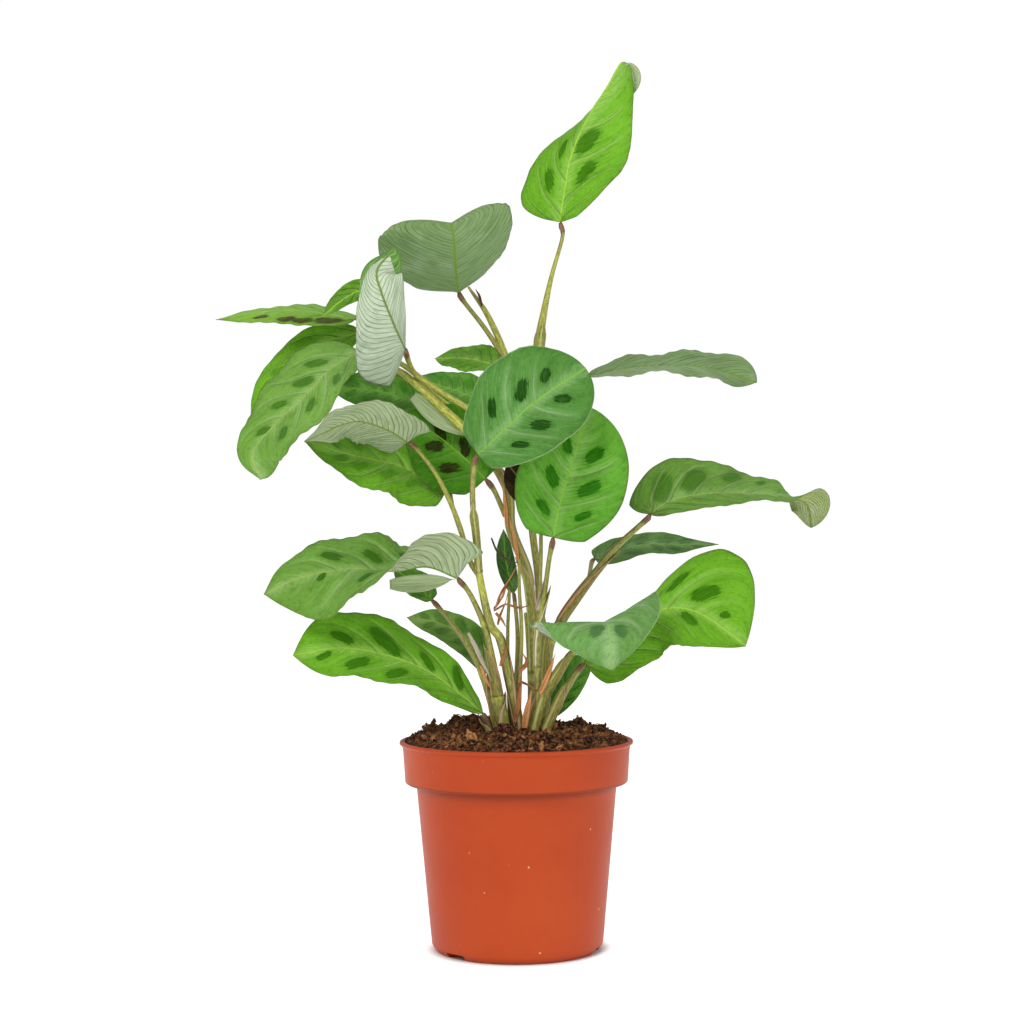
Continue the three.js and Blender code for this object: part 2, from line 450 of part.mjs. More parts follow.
function makePot() {
  const bandInside = BAND_TOP_RADIUS - WALL;
  const profile = [
    [0, 0], [FOOT_RADIUS, 0], [BODY_FOOT_RADIUS, FOOT_CHAMFER], [BODY_TOP_RADIUS, BAND_FOOT - 1],
    [BAND_FOOT_RADIUS - 1, BAND_FOOT - 0.6], [BAND_FOOT_RADIUS, BAND_FOOT + 0.5],
    [BAND_TOP_RADIUS, POT_HEIGHT - 2.4], [LIP_RADIUS, POT_HEIGHT - LIP_THICKNESS],
    [LIP_RADIUS, POT_HEIGHT - 0.5], [LIP_RADIUS - 0.5, POT_HEIGHT], [bandInside + 0.3, POT_HEIGHT],
    [bandInside - 0.1, POT_HEIGHT - 0.6], [BAND_FOOT_RADIUS - WALL, BAND_FOOT + 1.2],
    [BODY_TOP_RADIUS - WALL, BAND_FOOT], [BODY_FOOT_RADIUS - WALL, FLOOR + 1],
    [BODY_FOOT_RADIUS - 2.4, FLOOR],
    [0, FLOOR],
  ];
  let pot = solidOf(turned(profile, POT_SIDES));
  for (const angle of NOTCH_ANGLES) {
    const turn = THREE.MathUtils.degToRad(angle - 90);
    const notch = new THREE.BoxGeometry(NOTCH_DEPTH * 2, NOTCH_WIDTH, NOTCH_HEIGHT * 2);
    notch.translate(BODY_FOOT_RADIUS + 1, 0, 0);
    notch.rotateZ(turn);
    const drain = new THREE.CylinderGeometry(DRAIN_RADIUS, DRAIN_RADIUS, FLOOR * 3, 16);
    drain.rotateX(Math.PI / 2);
    drain.translate(BODY_FOOT_RADIUS - NOTCH_DEPTH + DRAIN_RADIUS + 3, 0, 0);
    drain.rotateZ(turn);
    pot = pot.subtract(solidOf(notch)).subtract(solidOf(drain));
  }
  return pot;
}

// Height of the soil's top above its level at the lip.
function soilHeight(x, y) {
  const inward = Math.max(0, 1 - Math.hypot(x, y) / LIP_RADIUS);
  const ripple = 1.3 * Math.sin(0.31 * x + 0.9) * Math.cos(0.27 * y - 0.4)
    + 0.9 * Math.sin(0.19 * x - 0.33 * y) + 0.6 * Math.cos(0.47 * x + 0.21 * y);
  let height = SOIL_HEAP * Math.min(1, 2.2 * inward) + ripple * Math.min(1, 5 * inward);
  for (const [clodX, clodY, radius, rise] of CLODS) {
    height += rise * Math.exp(-(((x - clodX) ** 2 + (y - clodY) ** 2) / radius ** 2));
  }
  return height;
}

function makeSoil(stalks) {
  const edge = BAND_TOP_RADIUS - WALL - CLEARANCE - 0.1;
  const profile = [
    [0, FLOOR + CLEARANCE], [BODY_FOOT_RADIUS - 2.8, FLOOR + CLEARANCE],
    [BODY_FOOT_RADIUS - WALL - CLEARANCE, FLOOR + 1.4],
    [BODY_TOP_RADIUS - WALL - CLEARANCE, BAND_FOOT + CLEARANCE],
    [BAND_FOOT_RADIUS - WALL - CLEARANCE, BAND_FOOT + 1.2 + CLEARANCE],
  ];
  for (let i = 0; i <= SOIL_RINGS; i += 1) {
    profile.push([edge * Math.sqrt(1 - i / SOIL_RINGS), SOIL_EDGE]);
  }
  const heightAt = (x, y, z) => (z === SOIL_EDGE ? z + soilHeight(x, y) : z);
  let soil = solidOf(turned(profile, POT_SIDES, heightAt));
  for (const stalk of stalks) {
    if (stalk[0][2] < SOIL_EDGE) {
      soil = soil.subtract(solidOf(stalkGeometry(stalk, CLEARANCE + 0.1)));
    }
  }
  return soil;
}

const plant = new THREE.Group();
plant.name = "potted_prayer_plant";
plant.add(meshOf("pot", makePot()));
plant.add(meshOf("soil", makeSoil(SHOOTS.flatMap((shoot) => shoot.stalks.map(wholeLine)))));
for (const shoot of SHOOTS) {
  const stalks = shoot.stalks.map((stalk) => solidOf(stalkGeometry(wholeLine(stalk))));
  plant.add(meshOf(shoot.name, stalks.reduce((whole, stalk) => whole.add(stalk))));
}
for (const leaf of LEAVES) {
  plant.add(meshOf(leaf.name, solidOf(thicken(bladeGrid(leaf), BLADE_THICKNESS))));
}

export default plant;
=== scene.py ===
# Prayer plant (Maranta) in a 12 cm plastic nursery pot: the dressed model, studio and camera.
# Lengths in the tables are millimetres, with +Z up and -Y to the front, as in the CAD model.
import math
import random
import bmesh
import bpy
import numpy as np
from mathutils import Euler, Matrix, Vector, noise


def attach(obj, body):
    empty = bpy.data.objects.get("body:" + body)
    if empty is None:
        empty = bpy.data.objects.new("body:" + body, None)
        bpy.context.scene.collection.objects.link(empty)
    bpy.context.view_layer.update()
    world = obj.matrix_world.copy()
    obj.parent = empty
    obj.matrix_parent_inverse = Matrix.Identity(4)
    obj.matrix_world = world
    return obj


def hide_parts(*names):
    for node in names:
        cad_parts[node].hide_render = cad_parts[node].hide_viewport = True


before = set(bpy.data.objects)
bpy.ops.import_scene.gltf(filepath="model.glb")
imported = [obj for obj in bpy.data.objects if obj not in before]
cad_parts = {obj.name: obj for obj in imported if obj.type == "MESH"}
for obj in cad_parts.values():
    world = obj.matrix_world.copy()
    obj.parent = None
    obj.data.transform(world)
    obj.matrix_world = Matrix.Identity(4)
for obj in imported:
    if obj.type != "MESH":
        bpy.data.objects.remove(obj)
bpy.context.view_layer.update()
MM = 0.001

# Camera: level, a little left of the pot's middle and 1.1 m in front of it.
CAMERA_AT = (-1.5, -1100, 224)
CAMERA_LENS = 75.27
CAMERA_SENSOR = 36
CAMERA_ROLL = 0.35
PHOTO_SIZE = 1024

# The studio's brightness at the sides and overhead, between which heights of the sky it changes,
# and how bright the background looks.
WORLD_SIDES = 0.7
WORLD_TOP = 0.45
WORLD_CHANGE = (0.3, 0.65)
WORLD_SEEN = 1.02

# Lights and the white floor, in metres and watts: a light has a place, aim, size and power.
LIGHTS = {
    "key": ((-0.6, -1.3, 1.4), (0, 0, 0.22), (0.7, 0.7), 19),
    "fill": ((1.2, -1.0, 0.8), (0, 0, 0.2), (1.0, 1.2), 5),
    "top": ((0.1, 0.5, 1.7), (0, 0, 0.2), (1.2, 0.8), 5),
}
STUDIO_FLOOR_RADIUS = 6

# Pot
LIP_RADIUS = 60
POT_HEIGHT = 107
LIP_THICKNESS = 1.6
BAND_TOP_RADIUS = 58.5
BAND_FOOT_RADIUS = 57.2
BAND_FOOT = 86
BODY_TOP_RADIUS = 51.4
BODY_FOOT_RADIUS = 44
FOOT_RADIUS = 41.5
FOOT_CHAMFER = 3.5
WALL = 1.2
FLOOR = 4.4
NOTCH_ANGLES = (-47, 73, 193)
NOTCH_WIDTH = 13
NOTCH_HEIGHT = 3
NOTCH_DEPTH = 15
DRAIN_RADIUS = 3
POT_SIDES = 160

# Soil: clods are [x, y, radius, height] on top of an even heap, lumps are a scale and a height,
# and large crumbs are (x, y, size).
SOIL_EDGE = 106.4
SOIL_HEAP = 5.5
CLODS = [[-25, 14, 15, 5], [-46, 8, 9, 2.5], [34, 14, 14, 2.5], [-6, -34, 9, 2], [46, -14, 9, 1.5]]
LUMPS = ((0.16, 1.7), (0.36, 0.9), (0.85, 0.45))
CRUMBS = 1500
LARGE_CRUMBS = [(-6, -32, 4.2), (28, -22, 2.8), (-38, -16, 3.0), (45, 6, 2.8), (-22, -38, 2.6)]
FIBRES = 240
FIBRE_STEPS = 6
FIBRE_SIDES = 4
SOIL_RINGS = 110
SOIL_SIDES = 260

# Blades and stalks: a stalk swells at its nodes and at the joint just below its blade.
BLADE_THICKNESS = 0.45
BLADE_ROWS = 96
BLADE_COLUMNS = 20
RIB_HEIGHT = 0.5
RIB_WIDTH = 0.9
QUILT_HEIGHT = 0.9
VEIN_GAP = 13
FRILL_HEIGHT = 0.35
STALK_SIDES = 14
THIN_STEM_SIDES = 10
STALK_STEP = 2.2
STALK_GAP = 0.25
STALK_TIP_RADIUS = 0.9
NODE_SWELLING = 0.16
NODE_LENGTH = 1.6
JOINT_SWELLING = 0.12
JOINT_LENGTH = 2.5
JOINT_FROM_TIP = 3.5
SPLINE_STEPS = 24

# Sheaths and scraps: thin sheets, with one unit of their uv and the stalks' for each 100 mm.
SHEET_THICKNESS = 0.24
SHEATH_GRID = (26, 16)
SHEATH_ARC = 310
STRIP_GRID = (22, 6)
UV_PER_MM = 0.01

# Blotches of the leaves (mm), how far they lean outward from the midrib (degrees), how boxy they
# are (2 is an ellipse), and from how many of its own sizes away a blotch no longer counts.
BLOTCH_LENGTH = 11.0
BLOTCH_WIDTH = 5.3
BLOTCH_SLANT = 40
BLOTCH_BOXINESS = 2.5
BLOTCH_FAR = 4.0

# Every leaf. midrib is its line from stalk to tip, and facing is the way that the upper face looks,
# for the whole blade or at each point of the midrib. Pairs are for the halves left and right of the
# midrib, seen on the upper face with the tip up: half is the half width, fold how far it is folded
# up (degrees, or a list of them from base to tip), curl twice how much farther its edge is folded,
# belly where it is widest (0 base, 1 tip), blunt how blunt the base is (less is blunter), tip and end
# how full the tip is (a greater tip or a smaller end is fuller), and lobe how far the base reaches
# back. wave is the height, number and start of the waves along the edge.
BLADE_DEFAULTS = {
    "curl": [0, 0], "belly": [0.4, 0.4], "blunt": [0.5, 0.5], "tip": [2.3, 2.3], "end": [1, 1],
    "lobe": [0.2, 0.2],
}
LEAVES = [
    {"name": "leaf_01", "half": [23, 29], "fold": [[8, 4, -50, -100, -105], 8], "curl": [-16, -14],
     "belly": [0.14, 0.4], "blunt": [0.4, 1.1], "tip": [1.1, 1.75], "end": [1, 1.5], "wave": [1, 3, 0],
     "midrib": [[24.5, 10, 374], [26.5, 7, 388], [29, 5, 403.5], [33.5, 4, 416.5], [40, 5, 429.5],
         [49, 8, 444], [57.5, 12, 457.5], [63, 18, 448]],
     "facing": [[-0.2, -0.95, 0.1], [-0.2, -0.95, 0.1], [-0.2, -0.95, 0.15], [-0.2, -0.95, 0.2],
         [-0.1, -0.95, 0.2], [-0.1, -0.9, 0.4], [0.2, -0.5, 0.85], [0.6, 0.8, 0.1]]},
    {"name": "leaf_02", "half": [36, 40], "fold": [[20, 20, 25, 27], [-3, 0, 6, 10]], "curl": [22, 8],
     "belly": [0.6, 0.55], "end": [0.42, 0.45], "lobe": [0.1, 0.1], "wave": [1.2, 3, 0],
     "midrib": [[-29, 35, 341], [-30, 12, 351], [-30, -12, 361], [-31, -28, 369]],
     "facing": [[0, 0.35, 0.93], [0, 0.45, 0.9], [0, 0.5, 0.87], [0, 0.3, 0.95]]},
    {"name": "leaf_03", "half": [14, 27], "fold": [10, -5], "curl": [10, -10], "belly": [0.78, 0.22],
     "blunt": [1.1, 0.95], "tip": [2.3, 1.3], "end": [0.6, 1.6], "lobe": [0.1, 1], "wave": [0.8, 3, 0],
     "midrib": [[-55, -14, 307], [-61, -26, 321], [-66, -33, 334], [-68, -35, 345], [-59, -31, 357]],
     "facing": [[-0.1, 0.95, 0.2], [-0.1, 0.95, 0.2], [-0.1, 0.95, 0.2], [0, 0.95, 0.3],
         [0, 0.9, 0.4]]},
    {"name": "leaf_04", "half": [17, 20], "fold": [-2, -8], "curl": [-10, 0], "wave": [0.5, 2, 0],
     "midrib": [[-83, 25, 326], [-114, 30, 331], [-140, 34, 330], [-158, 36, 327]],
     "facing": [[0, -0.38, 0.92], [0, -0.38, 0.92], [0, -0.38, 0.92], [0, -0.3, 0.95]]},
    {"name": "leaf_05", "half": [6, 7], "fold": [5, 5], "wave": [0.6, 2, 0],
     "midrib": [[-67, 10, 340], [-79, 8, 339], [-88, 4, 334], [-98, 0, 325]],
     "facing": [[-0.2, -0.9, 0.4], [-0.2, -0.9, 0.4], [-0.3, -0.9, 0.3], [-0.5, -0.8, 0.3]]},
    {"name": "leaf_06", "half": [20, 12], "fold": [10, 10], "belly": [0.45, 0.45], "wave": [1, 3, 0],
     "midrib": [[-81, 28, 319], [-105, 36, 313], [-122, 36, 297], [-131, 32, 275], [-130, 24, 249]],
     "facing": [[-0.2, -0.9, 0.4], [-0.3, -0.9, 0.4], [-0.4, -0.9, 0.3], [-0.4, -0.9, 0.1],
         [-0.4, -0.9, 0]]},
    {"name": "leaf_07", "half": [28, 29], "fold": [12, 10], "curl": [-10, -10], "belly": [0.6, 0.34],
     "blunt": [0.7, 0.5], "tip": [2.3, 1.8], "end": [0.5, 1], "wave": [1.2, 3, 0.2],
     "midrib": [[-79, 0, 307], [-94, -10, 297], [-106, -18, 283], [-121, -24, 268], [-131, -27, 254],
         [-128, -24, 241]],
     "facing": [[-0.4, -0.75, 0.5], [-0.5, -0.72, 0.48], [-0.55, -0.7, 0.42], [-0.6, -0.7, 0.4],
         [-0.6, -0.75, 0.2], [-0.5, -0.85, -0.1]]},
    {"name": "leaf_08", "half": [20, 22], "fold": [0, 4], "belly": [0.3, 0.3], "blunt": [0.3, 0.5],
     "lobe": [0.5, 0.3], "wave": [1.2, 3, 0],
     "midrib": [[-54, -12, 260], [-66, -18, 267], [-82, -24, 270], [-105, -30, 260]],
     "facing": [[0, 0.5, 0.84], [0, 0.5, 0.84], [0, 0.5, 0.86], [-0.2, 0.4, 0.86]]},
    {"name": "leaf_09", "half": [22.5, 22], "fold": [-5, 5], "belly": [0.3, 0.4], "lobe": [0.35, 0.2],
     "wave": [1.2, 3, 0],
     "midrib": [[-35, 5, 236], [-59, 5, 248], [-85, 2, 254], [-108, 0, 261]],
     "facing": [[0, -0.6, 0.8], [0, -0.65, 0.76], [0, -0.65, 0.76], [0, -0.5, 0.86]]},
    {"name": "leaf_10", "half": [24, 22], "fold": [0, 5], "wave": [1, 3, 0],
     "midrib": [[-15, 0, 241], [-27, 2, 253], [-42, 4, 265], [-59, 6, 274]],
     "facing": [-0.1, -0.85, 0.45]},
    {"name": "leaf_11", "half": [14, 14], "fold": [5, 5], "wave": [1, 2, 0],
     "midrib": [[-46, 22, 279], [-64, 30, 286], [-81, 37, 290], [-98, 42, 290]],
     "facing": [0, -0.85, 0.5]},
    {"name": "leaf_12", "half": [11.5, 12], "fold": [0, 10], "wave": [0.8, 2, 0],
     "midrib": [[-8, 42, 302], [-25, 56, 307], [-43, 68, 308]],
     "facing": [0, -0.65, 0.75]},
    {"name": "leaf_13", "half": [13, 13], "fold": [5, 5], "wave": [0.8, 2, 0],
     "midrib": [[-16, 28, 282], [-29, 37, 288], [-43, 46, 293], [-52, 51, 297]],
     "facing": [0, -0.8, 0.6]},
    {"name": "leaf_14", "half": [30, 25], "fold": [4, 4], "curl": [-12, -12], "belly": [0.5, 0.58],
     "blunt": [0.5, 0.6], "tip": [2, 2], "end": [0.5, 0.5], "wave": [1, 3, 0],
     "midrib": [[-18, -48, 252], [-5, -54, 264], [7, -58, 275], [21, -58, 285], [35, -54, 294]],
     "facing": [[-0.1, -0.95, 0.3], [-0.1, -0.95, 0.3], [-0.1, -0.95, 0.3], [0, -0.95, 0.3],
         [0.1, -0.9, 0.4]]},
    {"name": "leaf_15", "half": [25, 30], "fold": [3, 5], "curl": [-8, -8], "belly": [0.4, 0.45],
     "tip": [2.1, 2.1], "end": [0.6, 0.6], "wave": [1.2, 3, 0],
     "midrib": [[19, -28, 211], [23, -32, 230], [30, -34, 252], [38, -30, 276]],
     "facing": [0, -0.95, 0.3]},
    {"name": "leaf_16", "half": [21, 18], "fold": [8, 0], "belly": [0.5, 0.5], "tip": [2.3, 4],
     "end": [1, 0.6], "wave": [1.2, 3, 0],
     "midrib": [[39, 15, 295], [60, 14, 299], [81, 12, 300], [102, 8, 298], [125, 2, 290]],
     "facing": [[0, 0.3, 0.95], [0, 0.28, 0.94], [0, 0.28, 0.93], [0.1, 0.4, 0.9], [0.3, 0.75, 0.6]]},
    {"name": "leaf_17", "half": [27, 17], "fold": [3, 15], "belly": [0.3, 0.55], "blunt": [1.1, 0.6],
     "tip": [1.15, 2.6], "end": [0.65, 0.6], "lobe": [0.7, 0.2], "wave": [1.2, 3, 0],
     "midrib": [[69, -10, 222.5], [78, -10, 228.5], [89, -10, 231.5], [104, -10, 233],
         [120, -10, 232.5], [138, -9, 231], [149, -6, 227], [152, -2, 215]],
     "facing": [[0, -0.8, 0.6], [0, -0.8, 0.6], [0, -0.8, 0.6], [0, -0.6, 0.8], [0, -0.5, 0.85],
         [0, -0.35, 0.94], [0.1, 0.5, 0.85], [0.4, 0.9, 0.1]]},
    {"name": "leaf_18", "half": [10, 10], "fold": [5, 5], "belly": [0.3, 0.3], "lobe": [0.6, 0.6],
     "wave": [0.8, 2, 0],
     "midrib": [[42, 30, 199], [67, 37, 206], [89, 43, 206], [109, 47, 206]],
     "facing": [[0, -0.6, 0.8], [0, -0.6, 0.8], [0, -0.6, 0.8], [0, -0.5, 0.86]]},
    {"name": "leaf_19", "half": [41, 24], "fold": [5, 5], "curl": [-8, -8], "belly": [0.72, 0.25],
     "blunt": [11, 0.5], "tip": [2.1, 4], "end": [0.8, 1], "lobe": [0.1, 0.25], "wave": [1.8, 3, 0],
     "midrib": [[35, -10, 147], [51, -17, 162], [71, -22, 174], [91, -26, 173], [115, -28, 156]],
     "facing": [[-0.2, -0.85, 0.45], [-0.1, -0.85, 0.5], [0, -0.85, 0.5], [0.15, -0.8, 0.5],
         [0.3, -0.75, 0.5]]},
    {"name": "leaf_20", "half": [30, 36], "fold": [24, 0], "curl": [6, 0], "belly": [0.4, 0.4],
     "wave": [1.4, 3, 0],
     "midrib": [[39, -23, 159], [42, -42, 168], [45, -59, 168], [46, -76, 148]],
     "facing": [[0.1, -0.2, 0.95], [0.1, -0.45, 0.88], [0.1, -0.7, 0.7], [0, -0.95, 0.2]]},
    {"name": "leaf_21", "half": [31, 28],
     "fold": [[56, 56, 30, 8, 2, 2, 2], [14, 12, 20, 10, -6, -12, -12]], "belly": [0.7, 0.45],
     "blunt": [0.25, 0.5], "lobe": [0.5, 0.2], "wave": [1.6, 4, 0],
     "midrib": [[-29, -26, 191], [-44, -30, 197], [-60, -32, 195], [-83, -33, 196], [-107, -35, 192],
         [-125, -37, 184]],
     "facing": [[0, -0.1, 1], [0, -0.1, 1], [0, -0.25, 0.96], [0, -0.55, 0.83], [0, -0.78, 0.63],
         [-0.1, -0.8, 0.6]]},
    {"name": "leaf_22", "half": [19, 23], "fold": [3, 5], "belly": [0.78, 0.72], "blunt": [0.75, 0.8],
     "wave": [1.4, 3, 0],
     "midrib": [[-17, -12, 122], [-41, -22, 142], [-62, -31, 152], [-86, -39, 157], [-110, -44, 154]],
     "facing": [[-0.1, -0.7, 0.7], [-0.1, -0.7, 0.7], [-0.1, -0.72, 0.7], [-0.1, -0.75, 0.65],
         [-0.1, -0.8, 0.6]]},
    {"name": "leaf_23", "half": [10, 10], "fold": [5, 5], "belly": [0.5, 0.5], "wave": [0.8, 2, 0],
     "midrib": [[-13, 20, 140], [-24, 27, 156], [-40, 36, 165], [-58, 44, 168]],
     "facing": [0, -0.8, 0.6]},
    {"name": "leaf_24", "half": [5, 5], "fold": [15, 15], "belly": [0.45, 0.45], "wave": [0.2, 2, 0],
     "midrib": [[-1, 15, 182], [-5, 13, 199], [-6, 12, 215]],
     "facing": [0, -0.95, 0.2]},
    {"name": "leaf_25", "half": [8, 8], "fold": [5, 5], "belly": [0.45, 0.45], "wave": [0.8, 2, 0],
     "midrib": [[17, 15, 118], [27, 16, 134], [40, 16, 153]],
     "facing": [0.1, -0.98, 0.1]},
    {"name": "leaf_26", "half": [7, 9], "fold": [5, 5], "belly": [0.45, 0.45], "wave": [0.8, 2, 0],
     "midrib": [[-43, 0, 179], [-53, 4, 188], [-63, 9, 195]],
     "facing": [0, -0.7, 0.7]},
    {"name": "leaf_27", "half": [10, 10], "fold": [5, 5], "belly": [0.45, 0.45], "wave": [0.5, 2, 0],
     "midrib": [[13, -14, 230], [3, -16, 240], [-4, -18, 249]],
     "facing": [0, -0.9, 0.4]},
]

# Every shoot: for each of its stalks the leaf that it carries and its line, [x, y, z, radius].
SHOOTS = {
    "shoot_left": [
        ("leaf_21", [[-5, -9, 96, 2.6], [-6, -9, 109, 3], [-9, -9, 127, 3.2], [-13, -12, 154, 1.8],
         [-16, -15, 167, 1.6], [-23, -21, 183, 1.3], [-28, -25, 189.5, 1.4]]),
    ],
    "shoot_low_left": [
        ("leaf_22", [[-12, -11, 96, 1.6], [-13, -11, 110, 1.6], [-16, -11.7, 120, 1.5]]),
    ],
    "shoot_inner": [
        ("leaf_26", [[-8, 0, 96, 2], [-9, -1, 110, 2], [-17, -3, 140, 1.7], [-25, -2, 156, 1.4],
         [-35, -1, 170, 1.1], [-41.5, 0, 177.5, 1.3]]),
    ],
    "shoot_front": [
        ("leaf_14", [[2, -6, 96, 2.4], [2, -6, 110, 2.4], [-2, -8, 133, 2.4], [-8, -14, 159, 2],
         [-13, -17, 168, 2.1], [-18, -24, 192, 1.8], [-19, -28, 207, 1.6], [-21, -38, 230, 1.4],
         [-20, -46, 248, 1.4]]),
        ("leaf_08", [[-18, -24, 192, 1.6], [-23, -22, 200, 1.4], [-29, -18, 220, 1.3],
         [-38, -14, 240, 1.2], [-47, -12, 253, 1.1], [-52, -12, 258.5, 1.4]]),
        ("leaf_09", [[-26, -20, 210, 1.2], [-31, -9, 224, 1.1], [-33.5, 3, 233, 1.3]]),
    ],
    "shoot_centre": [
        ("leaf_07", [[5, 1, 96, 2.6], [5, 1, 108, 2.6], [9, 2, 132, 2.6], [9, 4, 158, 2.4],
         [8, 4, 179, 2.4], [6, 5, 194, 2.4], [-2, 8, 215, 2.3], [-5, 10, 238, 2.2], [-26, 14, 270, 2.2],
         [-44, 14, 286, 2], [-61, 12, 297, 1.7], [-72, 5, 303, 1.4], [-77, 1.2, 306, 1.4]]),
        ("leaf_10", [[-5, 9, 222, 1.4], [-10, 4, 234, 1.3], [-13, 1.2, 238.6, 1.5]]),
        ("leaf_03", [[-38, 14, 281, 1.6], [-48, 6, 291, 1.4], [-53, -4, 299, 1.3],
         [-55, -12, 305.5, 1.4]]),
        ("leaf_04", [[-61, 12, 297, 1.5], [-68, 19, 311, 1.3], [-74, 24, 321, 1.2],
         [-80.5, 25, 325.2, 1.3]]),
        ("leaf_06", [[-66, 17, 306, 1.3], [-73, 25, 314, 1.1], [-78.8, 28, 318, 1.2]]),
        ("leaf_05", [[-69, 20, 313, 1.2], [-66, 16, 328, 1], [-65.5, 10.6, 338, 1]]),
        ("leaf_11", [[-26, 14, 270, 1.5], [-36, 20, 275, 1.2], [-44, 22, 278, 1.2]]),
    ],
    "shoot_heart": [
        ("leaf_24", [[-2, 12, 96, 1.4], [-2, 12, 110, 1.4], [0, 13, 135, 1.2], [1, 14, 160, 1.1],
         [-0.6, 15, 180, 1]]),
    ],
    "shoot_back": [
        (None, [[8, 10, 96, 2.4], [8, 10, 107, 2.4], [13, 15, 157, 2.2], [12, 17, 189, 2],
         [9, 19, 215, 1.9], [5, 24, 262, 1.9], [-2, 32, 299, 1.8], [-13, 38, 327, 1.6],
         [-24, 40, 344, 0.7]]),
        ("leaf_02", [[-4, 33, 304, 1.5], [-15, 35, 321, 1.3], [-25, 36, 334, 1.2],
         [-28.4, 36, 338.8, 1.4]]),
        ("leaf_01", [[8, 20, 235, 1.8], [12, 19, 270, 2], [13, 18, 309, 2.5], [16, 16, 329, 1.8],
         [20, 13, 347, 1.2], [25.5, 11, 366, 1], [25, 10.2, 371.5, 1.3]]),
        ("leaf_12", [[0, 31, 290, 1.2], [-3, 37, 297, 1.1], [-6.4, 41, 301.3, 1.1]]),
        ("leaf_13", [[5, 24, 260, 1.2], [-6, 27, 273, 1.1], [-14, 28, 280.4, 1.2]]),
        ("leaf_16", [[12, 19, 262, 1.4], [24, 17, 280, 1.2], [37, 15.5, 293.6, 1.3]]),
    ],
    "shoot_right": [
        ("leaf_17", [[14, 2, 96, 2.4], [14, 3, 110, 2.6], [17, 4, 153, 2.6], [23, 4, 167, 2.6],
         [31, 3, 179, 2.5], [42, 0, 194, 1.8], [51, -3, 205, 1.6], [64, -8, 217, 1.4],
         [68.2, -9.6, 220.8, 1.4]]),
        ("leaf_18", [[38, 1, 189, 1.3], [39, 14, 193, 1.1], [40.5, 28, 197.6, 1.2]]),
    ],
    "shoot_low_front": [
        ("leaf_20", [[9, -6, 96, 2.2], [9, -6, 108, 2.4], [15, -9, 131, 2.4], [23, -13, 144, 2.2],
         [28, -17, 152, 1.9], [36, -21, 157, 1.4], [38, -22.4, 158.2, 1.4]]),
        ("leaf_15", [[11, -7, 116, 1.4], [11, -13, 159, 1.6], [13, -16, 172, 1.5], [15, -20, 185, 1.3],
         [17, -25, 200, 1.2], [18.8, -27.8, 209, 1.4]]),
        ("leaf_27", [[11, -13, 165, 1.1], [13, -13, 200, 1], [13, -14, 229, 1]]),
    ],
    "shoot_low_right": [
        ("leaf_19", [[14, -12, 96, 2], [14, -12, 109, 2.1], [21, -12, 126, 2.1], [30, -11, 141, 1.6],
         [34, -10, 146, 1.5]]),
    ],
    "shoot_young": [
        ("leaf_23", [[-10, 18, 96, 1.5], [-10, 19, 110, 1.5], [-11, 20, 130, 1.4],
         [-12.6, 20, 138.5, 1.3]]),
    ],
    "shoot_bud": [
        ("leaf_25", [[17, 15, 96, 1.4], [16.5, 15, 110, 1.4], [16.4, 15, 116.4, 1.2]]),
    ],
}

# By shoot and stalk: the places of nodes (rings) as shares of its length, and stretches of bright
# young green (from, to, strength).
STALK_NODES = {
    ("shoot_left", 0): [0.33, 0.72],
    ("shoot_front", 0): [0.42],
    ("shoot_centre", 0): [0.17, 0.34],
    ("shoot_inner", 0): [0.5],
    ("shoot_back", 0): [0.25],
    ("shoot_right", 0): [0.42],
    ("shoot_low_front", 0): [0.55],
    ("shoot_low_right", 0): [0.55],
}
BRIGHT_STRETCHES = {
    ("shoot_left", 0): [(0.15, 0.6, 0.35)],
    ("shoot_front", 0): [(0.53, 0.66, 0.75)],
    ("shoot_front", 1): [(0.3, 0.75, 0.3)],
    ("shoot_centre", 0): [(0.2, 0.42, 0.6), (0.6, 0.9, 0.65)],
    ("shoot_centre", 2): [(0.1, 0.85, 0.35)],
    ("shoot_back", 0): [(0.8, 0.97, 0.5)],
    ("shoot_back", 2): [(0.25, 0.9, 0.35)],
    ("shoot_low_front", 1): [(0.25, 0.7, 0.45)],
}

# Sheaths: shoot, stalk in it, from and to (shares of the stalk), the side they face, and kind.
SHEATHS = [
    ("shoot_left", 0, 0.1, 0.34, 200, "green"),
    ("shoot_left", 0, 0.34, 0.6, 20, "pink"),
    ("shoot_inner", 0, 0.12, 0.5, 160, "pink"),
    ("shoot_front", 0, 0.07, 0.4, 240, "green"),
    ("shoot_front", 0, 0.62, 0.84, 90, "pale"),
    ("shoot_centre", 0, 0.04, 0.17, 200, "pink"),
    ("shoot_centre", 0, 0.18, 0.42, 30, "green"),
    ("shoot_centre", 0, 0.36, 0.62, 120, "pink"),
    ("shoot_back", 0, 0.05, 0.3, 100, "green"),
    ("shoot_back", 2, 0.35, 0.62, 100, "green"),
    ("shoot_right", 0, 0.08, 0.45, 40, "green"),
    ("shoot_right", 0, 0.5, 0.82, 200, "pink"),
    ("shoot_low_front", 0, 0.1, 0.78, 60, "green"),
    ("shoot_low_front", 1, 0.3, 0.72, 200, "pale"),
    ("shoot_low_right", 0, 0.15, 0.72, 60, "pink"),
    ("shoot_low_left", 0, 0.4, 0.85, 0, "green"),
]

